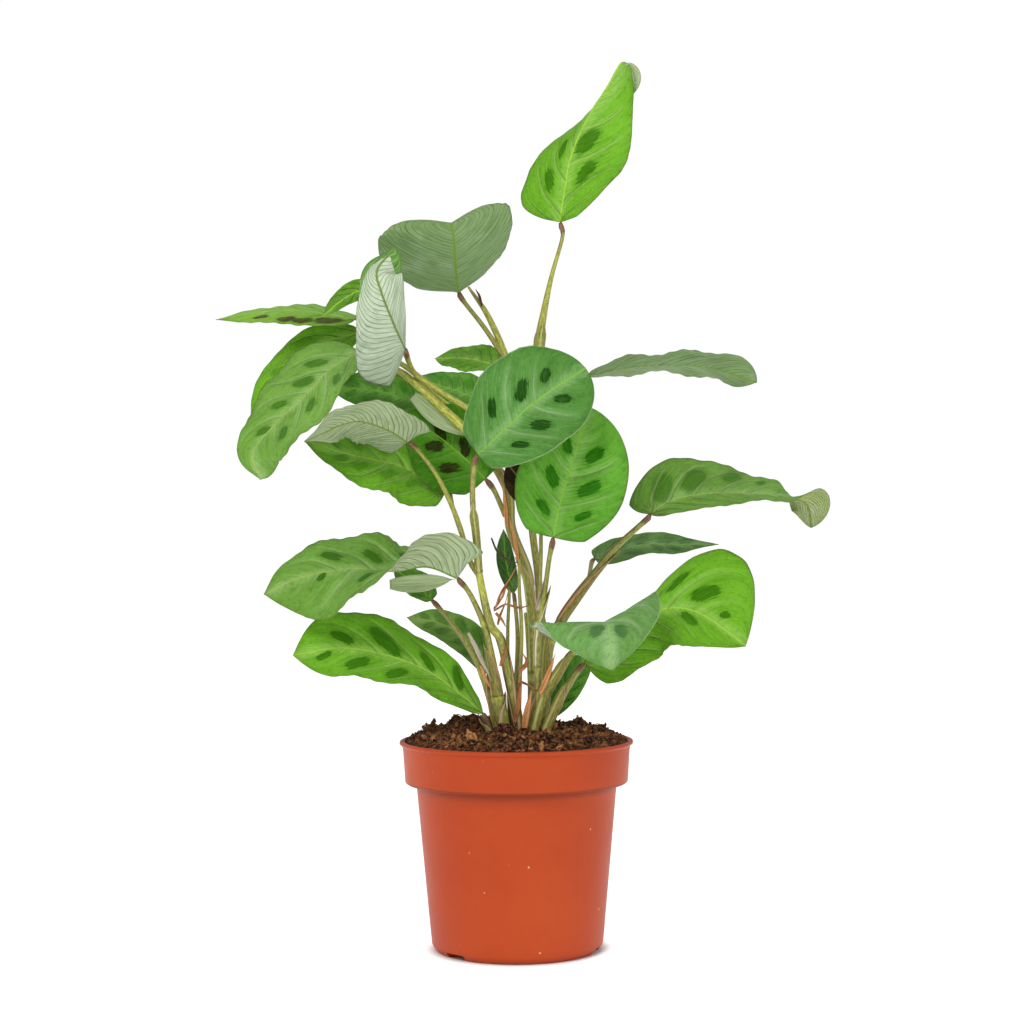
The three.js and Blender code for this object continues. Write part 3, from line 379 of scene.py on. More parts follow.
# Dry scraps among the stalks, and pale flaps of blades: points, width, twist in degrees, and kind.
STRIPS = [
    ([[-10, -18, 176], [-7, -17, 184], [-3, -15, 190], [1, -13, 197]], 1.3, 160, "dry"),
    ([[-11, -16, 175], [-7, -18, 181], [-4, -17, 188]], 1.5, 240, "dry"),
    ([[-11, -16, 174], [-5, -18, 177.5], [2, -15, 175.5], [8, -12, 177]], 1.4, 260, "dry"),
    ([[-9, -17, 167], [-8, -18, 172], [-5, -17, 179], [-3, -15, 187]], 1.6, 140, "dry"),
    ([[-10, -17, 173], [-7, -19, 170], [-5, -17, 166]], 1.8, 90, "dry"),
    ([[-12, -15, 211], [-9, -15, 204], [-4, -14, 200], [2, -14, 198]], 1.2, 120, "dark"),
    ([[-8, -16, 146], [-6, -15.5, 152], [-4, -14.5, 158]], 2.0, 60, "dry"),
    ([[2, -12, 143], [5, -13, 148], [3, -12, 153]], 3.0, 110, "dry"),
    ([[1, -12, 138], [5, -12.5, 137], [11, -11.5, 133]], 1.8, 140, "dry"),
    ([[12, -13, 131], [16, -14, 141], [20, -14, 152]], 2.8, 30, "orange"),
    ([[4, -9, 111], [5, -10, 121], [8, -10, 134]], 3.4, 40, "orange"),
    ([[-1, -9, 116], [1, -10, 126], [2, -10, 140]], 2.6, 30, "dry"),
    ([[-24, -17, 163], [-18, -15, 151], [-12, -14, 138]], 2.4, 50, "white"),
    ([[-18, -14.5, 146], [-15, -14, 139], [-10, -13, 131]], 1.6, 80, "orange"),
    ([[11, -17, 174], [14, -18, 184], [16, -18, 194]], 3.4, 30, "white"),
    ([[-4, 6, 216], [-5, 5, 226], [-6, 5, 238]], 2.2, 50, "orange"),
    ([[2, 3, 196], [0, 3, 208], [-3, 5, 222]], 2.0, 30, "orange"),
    ([[-17, 36, 333], [-18, 35, 338], [-20, 34, 342]], 1.5, 60, "dark"),
    ([[58, 9.5, 455], [61.5, 10.5, 450], [62.5, 11, 439]], 10.0, 12, "flap"),
    ([[-52, 2, 284], [-38, -3, 272], [-22, -8, 262]], 9.0, 15, "flap"),
    ([[-63, -27, 188], [-52, -27, 188.5], [-40, -26, 189.5], [-30, -25, 190.5]], 9.0, 5, "flap"),
]

# How much darker some blades are painted where they lie in shade.
LEAF_SHADE_DARKENING = {
    "leaf_10": 0.05, "leaf_11": 0.25, "leaf_13": 0.15, "leaf_17": 0.15, "leaf_18": 0.1, "leaf_21": 0.1,
    "leaf_23": 0.1, "leaf_24": 0.2, "leaf_25": 0.15,
}

# Where the centres of the clearest blotches are seen in the photo, in pixels, and their size.
BLOTCHES_IN_PHOTO = {
    "leaf_01": [(590, 141, 1.1), (587, 172, 1.0), (566, 149, 0.7), (551, 180, 0.8)],
    "leaf_04": [(262, 316, 0.8), (287, 318, 1.0), (303, 319, 1.0), (331, 320, 1.3)],
    "leaf_07": [(318, 362, 0.9), (304, 382, 1.1), (281, 403, 0.8), (264, 430, 0.8), (338, 379, 0.9),
                (311, 405, 0.9), (284, 431, 0.8)],
    "leaf_10": [(442, 433, 1.0), (434, 446, 1.0), (465, 447, 1.0), (450, 468, 1.0)],
    "leaf_14": [(494, 409, 0.85), (521, 390, 1.0), (546, 375, 0.75), (521, 444, 0.75), (541, 424, 1.0),
                (563, 399, 0.8)],
    "leaf_15": [(568, 445, 0.9), (553, 477, 1.1), (543, 508, 0.85), (594, 456, 0.95), (589, 489, 1.1),
                (582, 516, 0.75)],
    "leaf_17": [(663, 490, 1.2), (694, 479, 1.4), (732, 479, 1.1), (760, 485, 0.6)],
    "leaf_19": [(677, 583, 0.8), (704, 595, 1.1), (688, 620, 1.1), (726, 616, 0.5)],
    "leaf_20": [(595, 631, 0.9), (622, 632, 0.9)],
    "leaf_21": [(333, 556, 1.1), (373, 557, 1.1), (404, 556, 0.8), (364, 577, 0.9), (322, 575, 0.6)],
    "leaf_22": [(342, 636, 0.9), (384, 642, 1.4), (323, 655, 0.7), (356, 662, 1.2), (396, 673, 1.0),
                (426, 661, 0.8), (456, 678, 0.9)],
}

# Thin extra stems in the middle of the plant, [x, y, z, radius], and how bright green each is.
THIN_STEMS = [
    ([[1, -4, 104, 1.1], [2, -8, 138, 1.1], [3, -12, 164, 1.0], [2, -14, 184, 0.9], [2, -14, 200, 0.7]], 0.0),
    ([[-3, 8, 104, 1.0], [-4, 2, 140, 1.0], [-4, -4, 164, 0.9], [-3, -6, 184, 0.8]], 0.0),
    ([[6, 12, 104, 1.0], [7, 8, 132, 1.0], [6, 5, 160, 0.9], [5, 4, 172, 0.8]], 0.2),
    ([[-64, 9, 304, 0.8], [-57, 5, 300, 1.4], [-42, -4, 288.6, 1.5], [-24, -12, 277, 1.6],
      [-14, -10, 270, 1.2]], 0.45),
    ([[-66, 9, 299, 0.8], [-57.5, 6, 296, 1.8], [-42, -2, 282, 2.2], [-26, -12, 267, 2.4],
      [-16, -12, 257, 1.6]], 0.7),
]

# Leaves whose tip is folded over, so that the upper face shows on the other side: a place is on the
# fold where its share of the length plus its share of the half width times the slope for its side
# passes the first number.
TURNED_TIPS = {"leaf_03": (0.92, 0.1, 0.3), "leaf_02": (0.94, -0.6, -0.6)}

# How much longer the blotches are on some leaves, and how steeply they lean away from the midrib.
BLOTCH_FORMS = {"leaf_01": (1.35, 14), "leaf_04": (1.0, 12), "leaf_22": (1.2, 32)}

# How strong the blotches are on a leaf where they are faint.
BLOTCH_STRENGTHS = {
    "leaf_05": 0.2, "leaf_06": 0.3, "leaf_07": 0.8, "leaf_09": 0.35, "leaf_11": 0.35, "leaf_12": 0.15,
    "leaf_13": 0.25, "leaf_17": 0.6, "leaf_18": 0.35, "leaf_20": 0.8, "leaf_23": 0.45, "leaf_24": 0.4,
    "leaf_25": 0.4, "leaf_26": 0.4,
}

# How each leaf is coloured; those not named here are "mid".
LEAF_KINDS = {
    "leaf_01": "bright", "leaf_04": "brown", "leaf_05": "bright", "leaf_06": "bright", "leaf_07": "soft",
    "leaf_09": "bright", "leaf_10": "dark", "leaf_12": "bright", "leaf_14": "blue", "leaf_17": "soft",
    "leaf_18": "frosted", "leaf_19": "bright", "leaf_20": "frosted", "leaf_21": "soft", "leaf_22": "bright",
    "leaf_23": "soft", "leaf_24": "blue", "leaf_27": "young",
}

# Undersides that aren't silvery; sage is partly painted shade, a darker and greener silver for undersides in
# shade.
UNDER_KINDS = {"leaf_02": "grey", "leaf_08": "sage", "leaf_16": "grey", "leaf_17": "olive", "leaf_21": "sage"}


def colour(code):
    """An sRGB hex code as linear RGBA."""
    parts = [int(code[i:i + 2], 16) / 255 for i in (1, 3, 5)]
    return tuple(p / 12.92 if p <= 0.04045 else ((p + 0.055) / 1.055) ** 2.4 for p in parts) + (1.0,)


class Graph:
    """A material's node tree, with short calls for the nodes used here."""

    def __init__(self, name):
        self.material = bpy.data.materials.new(name)
        self.material.use_nodes = True
        self.nodes = self.material.node_tree.nodes
        self.links = self.material.node_tree.links
        self.nodes.clear()

    def add(self, kind, **settings):
        node = self.nodes.new(kind)
        for key, value in settings.items():
            setattr(node, key, value)
        return node

    def put(self, socket, value):
        """Gives a socket its value: another node's output, a number, or a colour's hex code."""
        if isinstance(value, bpy.types.NodeSocket):
            self.links.new(value, socket)
        else:
            socket.default_value = colour(value) if isinstance(value, str) else value

    def math(self, operation, a, b=0.0, c=0.0):
        node = self.add("ShaderNodeMath", operation=operation)
        for socket, value in zip(node.inputs, (a, b, c)):
            self.put(socket, value)
        return node.outputs[0]

    def times(self, a, b):
        return self.math("MULTIPLY", a, b)

    def times_add(self, a, b, c):
        return self.math("MULTIPLY_ADD", a, b, c)

    def shaken(self, value, noise, size):
        """A value moved up and down by a noise."""
        return self.times_add(self.math("SUBTRACT", noise, 0.5), size, value)

    def ramp(self, value, low, high):
        """0 below low, 1 above high, smooth between; the other way round where low is above high."""
        node = self.add("ShaderNodeMapRange", interpolation_type="SMOOTHSTEP")
        swap = low > high
        self.put(node.inputs["Value"], value)
        node.inputs["From Min"].default_value = min(low, high)
        node.inputs["From Max"].default_value = max(low, high)
        node.inputs["To Min"].default_value = 1.0 if swap else 0.0
        node.inputs["To Max"].default_value = 0.0 if swap else 1.0
        return node.outputs["Result"]

    def mix(self, share, a, b, blend="MIX"):
        node = self.add("ShaderNodeMix", data_type="RGBA", blend_type=blend)
        self.put(node.inputs["Factor"], share)
        self.put(node.inputs[6], a)
        self.put(node.inputs[7], b)
        return node.outputs[2]

    def tint(self, base, tone, value, low, high, strength=None, blend="MIX"):
        """The base with a tone laid over it where a value goes from low to high."""
        share = self.ramp(value, low, high)
        if strength is not None:
            share = self.times(share, strength)
        return self.mix(share, base, tone, blend)

    def noise(self, vector, scale, detail=2.0, rough=0.5):
        node = self.add("ShaderNodeTexNoise")
        self.put(node.inputs["Vector"], vector)
        node.inputs["Scale"].default_value = scale
        node.inputs["Detail"].default_value = detail
        node.inputs["Roughness"].default_value = rough
        return node.outputs["Fac"]

    def streaks(self, a, a_scale, b, b_scale, detail, rough=0.5):
        """Noise over two coordinates, drawn out along the one with the smaller scale."""
        place = self.vector(self.times(a, a_scale), self.times(b, b_scale))
        return self.noise(place, 1.0, detail, rough)

    def vector(self, x, y, z=0.0):
        node = self.add("ShaderNodeCombineXYZ")
        for socket, value in zip(node.inputs, (x, y, z)):
            self.put(socket, value)
        return node.outputs[0]

    def parts(self, vector):
        node = self.add("ShaderNodeSeparateXYZ")
        self.put(node.inputs[0], vector)
        return node.outputs

    def uv(self):
        return self.add("ShaderNodeUVMap", uv_map="UVMap").outputs["UV"]

    def place(self):
        return self.add("ShaderNodeTexCoord").outputs["Object"]

    def attribute(self, name):
        return self.add("ShaderNodeAttribute", attribute_name=name).outputs["Fac"]

    def bump(self, height, distance, strength=1.0):
        node = self.add("ShaderNodeBump")
        self.put(node.inputs["Height"], height)
        node.inputs["Distance"].default_value = distance
        node.inputs["Strength"].default_value = strength
        return node.outputs["Normal"]

    def surface(self, base, roughness, normal=None, through=None, share=0.0, **fixed):
        """A principled surface, with a share of light let through where through is its colour."""
        shader = self.add("ShaderNodeBsdfPrincipled")
        self.put(shader.inputs["Base Color"], base)
        self.put(shader.inputs["Roughness"], roughness)
        if normal is not None:
            self.put(shader.inputs["Normal"], normal)
        for key, value in fixed.items():
            self.put(shader.inputs[key.replace("_", " ")], value)
        result = shader.outputs[0]
        if through is not None:
            glow = self.add("ShaderNodeBsdfTranslucent")
            self.put(glow.inputs["Color"], through)
            if normal is not None:
                self.put(glow.inputs["Normal"], normal)
            blend = self.add("ShaderNodeMixShader")
            blend.inputs[0].default_value = share
            self.links.new(result, blend.inputs[1])
            self.links.new(glow.outputs[0], blend.inputs[2])
            result = blend.outputs[0]
        output = self.add("ShaderNodeOutputMaterial")
        self.links.new(result, output.inputs["Surface"])
        return self.material


def leaf_coordinates(g):
    """The place on a blade: r from midrib to edge, its distance in mm from the midrib, and q,
    which is whole on the main side veins."""
    across, _, _ = g.parts(g.uv())
    r = g.math("ABSOLUTE", g.times_add(across, 2.0, -1.0))
    return r, g.times(r, g.attribute("half")), g.attribute("vein_count")


def near_whole(g, value):
    """0 halfway between whole numbers, 1 on them."""
    part = g.math("FRACT", value)
    return g.times(g.math("ABSOLUTE", g.math("SUBTRACT", part, 0.5)), 2.0)


# Upper faces: ground, paler band by the midrib and along side veins, blotch, and midrib.
UPPER_COLOURS = {
    "bright": ("#70ae28", "#94c258", "#326a06", "#98c83c"),
    "mid": ("#66a836", "#8cbc60", "#1c6400", "#80bc36"),
    "blue": ("#568a3e", "#88b070", "#063800", "#78b03c"),
    "soft": ("#77a544", "#98bc70", "#33660f", "#9ab850"),
    "frosted": ("#72a056", "#9fc088", "#41683a", "#8cb860"),
    "brown": ("#86b83a", "#8cb84e", "#3a2a12", "#a0c644"),
    "dark": ("#4a861c", "#649a38", "#22160a", "#74a52c"),
    "young": ("#4c3526", "#6c583c", "#2a1815", "#807048"),
}


def upper_material(kind):
    """Green with blotches between the side veins; spot is 1 on a blotch's edge and less inside it."""
    ground, pale, blotch, rib = UPPER_COLOURS[kind]
    g = Graph("leaf_upper_" + kind)
    r, out, q = leaf_coordinates(g)
    _, along, _ = g.parts(g.uv())
    # The side veins crowd together near the tip, so their marks are fainter there.
    calm = g.times_add(g.ramp(along, 0.94, 0.55), 0.88, 0.12)
    place = g.place()
    streak = g.streaks(q, 6.0, r, 2.5, 4.0, 0.6)
    comb = g.streaks(q, 26.0, r, 5.0, 2.0, 0.5)
    cloud = g.noise(place, 75.0, 4.0, 0.6)
    broad = g.noise(place, 26.0, 2.0)
    grain = g.noise(place, 420.0, 3.0, 0.65)
    line = near_whole(g, g.times_add(streak, 0.6, g.times(q, 9.0)))
    fine = near_whole(g, g.times(q, 9.0))
    vein = near_whole(g, g.shaken(q, streak, 0.1))
    # Creases along the main side veins.
    crease = g.times(g.ramp(vein, 0.74, 0.98), g.ramp(r, 1.0, 0.6))
    pleats = g.times(g.times(calm, calm), crease)
    # Paler by the midrib and along the veins, in uneven patches.
    feather = g.shaken(out, comb, 5.0)
    near_rib = g.times(g.ramp(feather, 5.5, 1.2), 0.8)
    band = g.times(g.ramp(vein, 0.5, 1.0), g.ramp(r, 1.0, 0.45))
    patches = g.times_add(g.ramp(g.noise(place, 60.0, 2.0), 0.38, 0.6), 0.8, 0.2)
    band = g.times(band, patches)
    light = g.math("MAXIMUM", g.times(band, g.times(calm, 0.75)), near_rib)
    light = g.times(light, g.times_add(cloud, 1.5, 0.1))
    base = g.mix(light, ground, pale)
    teeth = g.times(g.ramp(comb, 0.45, 0.7), g.times(calm, 0.26))
    base = g.mix(teeth, base, pale)
    ridges = g.times(g.ramp(line, 0.55, 0.95), g.times(calm, 0.22))
    base = g.mix(ridges, base, "#9db884", "MULTIPLY")
    base = g.tint(base, "#a9c2a0", streak, 0.55, 0.3, 0.45, "MULTIPLY")
    base = g.tint(base, "#ccd6b8", broad, 0.4, 0.65, 0.35, "MULTIPLY")
    base = g.tint(base, "#a8c098", grain, 0.5, 0.3, 0.4, "MULTIPLY")
    base = g.tint(base, "#b8ccb4", r, 0.75, 1.0, 0.25, "MULTIPLY")
    ragged = g.shaken(g.attribute("spot"), comb, 1.0)
    base = g.tint(base, "#86a070", ragged, 1.6, 0.95, 0.25, "MULTIPLY")
    deep = g.mix(g.times(g.ramp(comb, 0.4, 0.7), 0.2), blotch, ground)
    base = g.mix(g.times(g.ramp(ragged, 1.08, 0.92), g.attribute("blotch")), base, deep)
    base = g.mix(g.times(pleats, 0.45), base, pale)
    base = g.tint(base, rib, out, 0.55, 0.28)
    # Painted highlight: frosted and blue blades get a pale rim; the others a thin brown margin, their own
    # colour.
    edge = "#a6bf8c" if kind in ("frosted", "blue") else "#66602c"
    base = g.tint(base, edge, r, 0.965, 0.995, 0.6)
    # Painted shade: blades in shade are made darker by their tone.
    shade = g.times(g.attribute("tone"), 0.8)
    base = g.mix(shade, base, "#4a6a40", "MULTIPLY")
    relief = g.times_add(fine, -0.1, g.times(pleats, -0.9))
    relief = g.times_add(comb, 0.12, relief)
    relief = g.times_add(g.noise(place, 700.0, 3.0), 0.16, relief)
    relief = g.times_add(g.noise(place, 130.0, 3.0), 1.2, relief)
    normal = g.bump(relief, 0.001, 1.0)
    rough = g.times_add(cloud, 0.3, 0.27)
    return g.surface(base, rough, normal, through=base, share=0.15, Specular_IOR_Level=0.13,
                     Specular_Tint="#c8ff9c")


# Under faces: ground, darker fine veins, rib.
UNDER_COLOURS = {
    "silver": ("#c6d4b9", "#69885a", "#708c40"),
    # Sage is partly painted shade: a darker, greener silver.
    "sage": ("#b8c79c", "#587244", "#7d9a3c"),
    "grey": ("#8aa86c", "#3f6131", "#7d9c34"),
    "olive": ("#9fb070", "#66783f", "#7d8f45"),
}


def under_material(kind):
    """Pale, with darker veins, and green like an upper face where the tip is turned over."""
    ground, dark, rib = UNDER_COLOURS[kind]
    g = Graph("leaf_under_" + kind)
    r, out, q = leaf_coordinates(g)
    place = g.place()
    cloud = g.noise(place, 55.0, 3.0)
    streak = g.streaks(q, 5.0, r, 2.5, 4.0, 0.6)
    fine = near_whole(g, g.times_add(streak, 0.5, g.times(q, 4.0)))
    hair = g.streaks(q, 34.0, r, 4.0, 2.0)
    base = g.mix(g.times(g.ramp(hair, 0.4, 0.7), 0.3), ground, dark)
    base = g.tint(base, dark, streak, 0.45, 0.7, 0.42)
    base = g.tint(base, "#d5e0cc", cloud, 0.5, 0.8, 0.3)
    # The veins are fainter near the tip.
    _, along, _ = g.parts(g.uv())
    calm = g.times_add(g.ramp(along, 0.95, 0.75), 0.55, 0.25)
    base = g.mix(g.times(g.ramp(fine, 0.86, 0.97), calm), base, dark)
    turned = g.shaken(g.attribute("turned"), streak, 0.5)
    top = g.mix(g.ramp(streak, 0.35, 0.7), "#4f8428", "#8ab566")
    base = g.tint(base, top, turned, 0.47, 0.55)
    base = g.tint(base, rib, out, 0.8, 0.35)
    base = g.tint(base, "#6f7a48", r, 0.97, 0.995, 0.6)
    relief = g.times_add(g.ramp(fine, 0.7, 1.0), 1.0, g.times(hair, 0.5))
    normal = g.bump(relief, 0.0003, 1.0)
    rough = g.times_add(cloud, 0.15, 0.5)
    return g.surface(base, rough, normal, through=base, share=0.15, Specular_IOR_Level=0.2)


def stalk_colours(g, around, up, redness):
    """Olive green drawn with lengthwise streaks and a painted highlight down one side, turning brown where
    redness is high.
    """
    streak = g.streaks(around, 7.0, up, 30.0, 3.0, 0.6)
    fleck = g.streaks(around, 9.0, up, 120.0, 2.0)
    base = g.mix(g.ramp(streak, 0.3, 0.7), "#686c28", "#a4a24c")
    base = g.tint(base, "#4f481e", fleck, 0.55, 0.75, 0.28)
    rust = g.streaks(around, 16.0, up, 150.0, 3.0)
    base = g.tint(base, "#7c4a28", rust, 0.6, 0.75, 0.3)
    # Painted highlight: a pale streak down one side of each stalk, and down the middle of each sheath.
    base = g.tint(base, "#c2c17c", around, 0.18, 0.02, 0.75)
    edge = g.shaken(around, streak, 0.35)
    base = g.tint(base, "#5f3a26", edge, 0.66, 0.86, 0.75)
    red = g.mix(g.ramp(streak, 0.35, 0.7), "#54301c", "#876440")
    share = g.shaken(redness, streak, 0.5)
    return g.mix(g.ramp(share, 0.3, 0.9), base, red), streak


def stalk_material():
    g = Graph("stalk")
    around, up, _ = g.parts(g.uv())
    base, streak = stalk_colours(g, around, up, g.attribute("redness"))
    lime = g.mix(g.ramp(streak, 0.35, 0.65), "#92982c", "#c6c850")
    base = g.mix(g.attribute("bright"), base, lime)
    _, _, height = g.parts(g.place())
    stain = g.times_add(streak, 0.012, height)
    stain = g.ramp(stain, (SOIL_EDGE + 42) * MM, (SOIL_EDGE + 10) * MM)
    base = g.mix(g.times(stain, 0.65), base, "#46331f")
    normal = g.bump(g.math("ADD", streak, g.times(g.noise(g.place(), 700.0), 0.4)), 0.0003, 0.9)
    return g.surface(base, 0.4, normal, Specular_IOR_Level=0.42)


def sheath_material(name, redness, margin):
    """The clasping foot of a leaf stalk: the stalk's own colour with a thin dry margin."""
    g = Graph(name)
    around, up, _ = g.parts(g.uv())
    edge = g.times(g.math("ABSOLUTE", g.math("SUBTRACT", around, 0.5)), 2.0)
    base, streak = stalk_colours(g, edge, up, redness)
    ragged = g.shaken(edge, streak, 0.35)
    base = g.tint(base, margin, ragged, 0.72, 0.9)
    normal = g.bump(streak, 0.0003, 0.9)
    return g.surface(base, 0.45, normal, through=base, share=0.08, Specular_IOR_Level=0.35)


def papery_material(name, pale, dark):
    """Thin dry tissue: bracts and torn tips."""
    g = Graph(name)
    around, up, _ = g.parts(g.uv())
    streak = g.streaks(around, 30.0, up, 5.0, 3.0, 0.65)
    cloud = g.noise(g.place(), 180.0, 3.0)
    base = g.tint(dark, pale, streak, 0.35, 0.6)
    base = g.tint(base, dark, cloud, 0.55, 0.75, 0.4)
    normal = g.bump(streak, 0.0003, 0.8)
    return g.surface(base, 0.6, normal, through=base, share=0.15, Specular_IOR_Level=0.25)


def pot_material():
    """Moulded terracotta-coloured plastic with faint clouds, fine grain and a few pale scuffs."""
    g = Graph("pot_plastic")
    place = g.place()
    cloud = g.noise(place, 14.0, 4.0, 0.6)
    patch = g.noise(place, 55.0, 3.0, 0.6)
    base = g.mix(g.ramp(cloud, 0.3, 0.7), "#a23a14", "#ad431b")
    base = g.tint(base, "#983415", patch, 0.45, 0.75, 0.25)
    speck = g.add("ShaderNodeTexVoronoi", feature="F1")
    g.put(speck.inputs["Vector"], place)
    speck.inputs["Scale"].default_value = 130.0
    chosen = g.math("GREATER_THAN", g.noise(place, 130.0, 0.0), 0.66)
    dots = g.times(g.ramp(speck.outputs["Distance"], 0.09, 0.04), chosen)
    base = g.mix(g.times(dots, 0.55), base, "#e8c4a8")
    # Painted shade in the corner under the band, where the band overhangs the body.
    _, _, height = g.parts(place)
    shade_under_band = g.times(g.ramp(height, (BAND_FOOT - 5) * MM, (BAND_FOOT - 0.6) * MM),
                         g.ramp(height, (BAND_FOOT + 1.2) * MM, (BAND_FOOT + 0.2) * MM))
    base = g.mix(g.times(shade_under_band, 0.6), base, "#5c2210")
    grain = g.math("ADD", g.noise(place, 1500.0, 2.0), g.times(patch, 1.5))
    rough = g.times_add(patch, 0.18, 0.36)
    return g.surface(base, rough, g.bump(grain, 0.00008, 0.6), Specular_IOR_Level=0.15)


def soil_material():
    """Dark peat with warmer, lighter crumbs; shade is set for each crumb."""
    g = Graph("soil")
    place = g.place()
    rough = g.noise(place, 380.0, 4.0, 0.7)
    warm = g.noise(place, 90.0, 3.0, 0.6)
    base = g.mix(g.ramp(rough, 0.42, 0.66), "#130905", "#855030")
    base = g.tint(base, "#87552f", warm, 0.52, 0.7, 0.6)
    base = g.mix(g.attribute("shade"), base, "#b37c4c")
    # Painted shade: dark pits stand in for the shaded gaps between crumbs.
    shaded_pits = g.ramp(g.noise(place, 900.0, 3.0), 0.5, 0.35)
    base = g.mix(g.times(shaded_pits, 0.8), base, "#1c100a", "MULTIPLY")
    relief = g.math("ADD", rough, g.times(g.noise(place, 1400.0, 3.0), 0.5))
    return g.surface(base, 0.9, g.bump(relief, 0.0009, 1.0), Specular_IOR_Level=0.15)


def paper_white():
    """The floor glows faintly, as a lit paper sweep does, so that it stays white; the glow stops under the
    pot and just round its foot, which paints a shadow there.
    """
    g = Graph("studio_white")
    white = (0.86, 0.86, 0.86, 1.0)
    x, y, _ = g.parts(g.place())
    away = g.math("SQRT", g.math("ADD", g.times(x, x), g.times(y, y)))
    # Painted shadow: no glow under the pot and for a few mm round its foot.
    unshadowed_floor = g.ramp(away, (BODY_FOOT_RADIUS - 2) * MM, (BODY_FOOT_RADIUS + 6) * MM)
    glow = g.mix(unshadowed_floor, (0.0, 0.0, 0.0, 1.0), white)
    return g.surface(white, 0.9, Specular_IOR_Level=0.1, Emission_Color=glow, Emission_Strength=0.72)


def mesh_object(name, points, faces, materials, face_material=None, uvs=None):
    """A mesh from points in millimetres; uvs holds one (u, v) for each point."""
    mesh = bpy.data.meshes.new(name)
    mesh.from_pydata([Vector(p) * MM for p in points], [], faces)
    for material in materials:
        mesh.materials.append(material)
    if face_material is not None:
        mesh.polygons.foreach_set("material_index", face_material)
    if uvs is not None:
        layer = mesh.uv_layers.new(name="UVMap")
        corners = np.empty(len(mesh.loops), dtype=np.int32)
        mesh.loops.foreach_get("vertex_index", corners)
        layer.data.foreach_set("uv", np.asarray(uvs, dtype=np.float32)[corners].ravel())
    mesh.polygons.foreach_set("use_smooth", [True] * len(mesh.polygons))
    mesh.update()
    piece = bpy.data.objects.new(name, mesh)
    bpy.context.scene.collection.objects.link(piece)
    return piece


def mark(piece, name, values):
    """One number for each point of a piece, or the same one for all."""
    count = len(piece.data.vertices)
    layer = piece.data.attributes.new(name, "FLOAT", "POINT")
    if not hasattr(values, "__len__"):
        values = [values] * count
    layer.data.foreach_set("value", values)


def spline(points):
    """A Catmull-Rom line through points: its samples and the length at each."""
    p = np.asarray(points, dtype=float)
    p = np.vstack([2 * p[0] - p[1], p, 2 * p[-1] - p[-2]])
    samples = []
    for i in range(1, len(p) - 2):
        a, b, c, d = p[i - 1:i + 3]
        for k in range(SPLINE_STEPS):
            t = k / SPLINE_STEPS
            samples.append(0.5 * (2 * b + (c - a) * t + (2 * a - 5 * b + 4 * c - d) * t * t
                                  + (3 * b - a - 3 * c + d) * t ** 3))
    samples.append(p[-2])
    samples = np.array(samples)
    steps = np.linalg.norm(np.diff(samples[:, :3], axis=0), axis=1)
    return samples, np.concatenate([[0], np.cumsum(steps)])


def along_line(points, shares):
    """Points of the spline at the given shares of its length, and that length."""
    samples, lengths = spline(points)
    at = np.asarray(shares) * lengths[-1]
    return np.stack([np.interp(at, lengths, column) for column in samples.T], axis=1), lengths[-1]


def unit(vectors):
    return vectors / np.maximum(np.linalg.norm(vectors, axis=-1, keepdims=True), 1e-9)


def outline_at(s, belly, blunt, tip, end):
    """How wide a half of a blade is at s, as a share of its greatest width."""
    rise = np.sin(0.5 * math.pi * np.clip(s / belly, 0, 1)) ** blunt
    fall = (1 - np.clip((s - belly) / (1 - belly), 0, 1) ** tip) ** end
    return np.where(s < belly, rise, fall)


def value_at(value, s):
    """A number, or the values at s of numbers spaced evenly from base to tip."""
    values = np.atleast_1d(value)
    return np.interp(s, np.linspace(0, 1, len(values)), values)


def ease_ends(s):
    """1 along most of a blade, falling to 0 at its base and at its tip."""
    return np.minimum(1, 4 * s) * np.minimum(1, 4 * (1 - s))


def widths_of(grid):
    """Half of a blade's width at each of its rows."""
    return np.linalg.norm(grid[:, -1] - grid[:, 0], axis=1) / 2


def blade_grid(leaf, rows, columns):
    """A blade's middle surface as rows of points, the rows' shares of its length, and that length."""
    leaf = {**BLADE_DEFAULTS, **leaf}
    # The rows are closer together near the base and the tip.
    even = np.linspace(0, 1, rows + 1)
    s = 0.5 * even + 0.5 * (0.5 - 0.5 * np.cos(math.pi * even))
    facing = np.broadcast_to(leaf["facing"], np.shape(leaf["midrib"]))
    line, length = along_line(np.hstack([leaf["midrib"], facing]), s)
    middle = line[:, :3]
    along = unit(np.gradient(middle, axis=0))
    up = line[:, 3:]
    up = unit(up - (up * along).sum(axis=1, keepdims=True) * along)
    to_left = np.cross(up, along)
    wave_height, wave_count, wave_phase = leaf["wave"]
    ends = ease_ends(s)
    shift = random.Random(leaf["name"]).random()
    columns_out = []
    for j in range(-columns, columns + 1):
        side = 0 if j < 0 else 1
        r = abs(j) / columns
        form = [leaf[key][side] for key in ("belly", "blunt", "tip", "end")]
        width = leaf["half"][side] * outline_at(s, *form)
        # The base is nearly as wide as the stalk that it joins, and the tip isn't quite sharp.
        reach = np.maximum(width, 0.35 + 0.5 * np.clip(1 - 30 * s, 0, 1)) * r
        lift = np.radians(value_at(leaf["fold"][side], s) + 0.5 * leaf["curl"][side] * r)
        small = np.minimum(1, width / 22)
        wave = wave_height * r * r * ends * np.sin(2 * math.pi * (wave_count * s + wave_phase + 0.5 * side))
        turn = 2 * math.pi * (4.3 * wave_count * s + 3.1 * shift + 0.37 * side)
        frill = FRILL_HEIGHT * small * r ** 3 * ends * np.sin(turn)
        back = leaf["lobe"][side] * leaf["half"][side] * (1 - s) ** 3 * r * r * np.minimum(1, 12 * s)
        sign = -1 if side else 1
        columns_out.append(middle + to_left * (sign * reach * np.cos(lift))[:, None]
                           + up * (reach * np.sin(lift) + wave + frill)[:, None]
                           - along * back[:, None])
    return np.stack(columns_out, axis=1), s, length


def grid_normals(grid):
    across = np.gradient(grid, axis=1)
    along = np.gradient(grid, axis=0)
    return unit(np.cross(across, along))


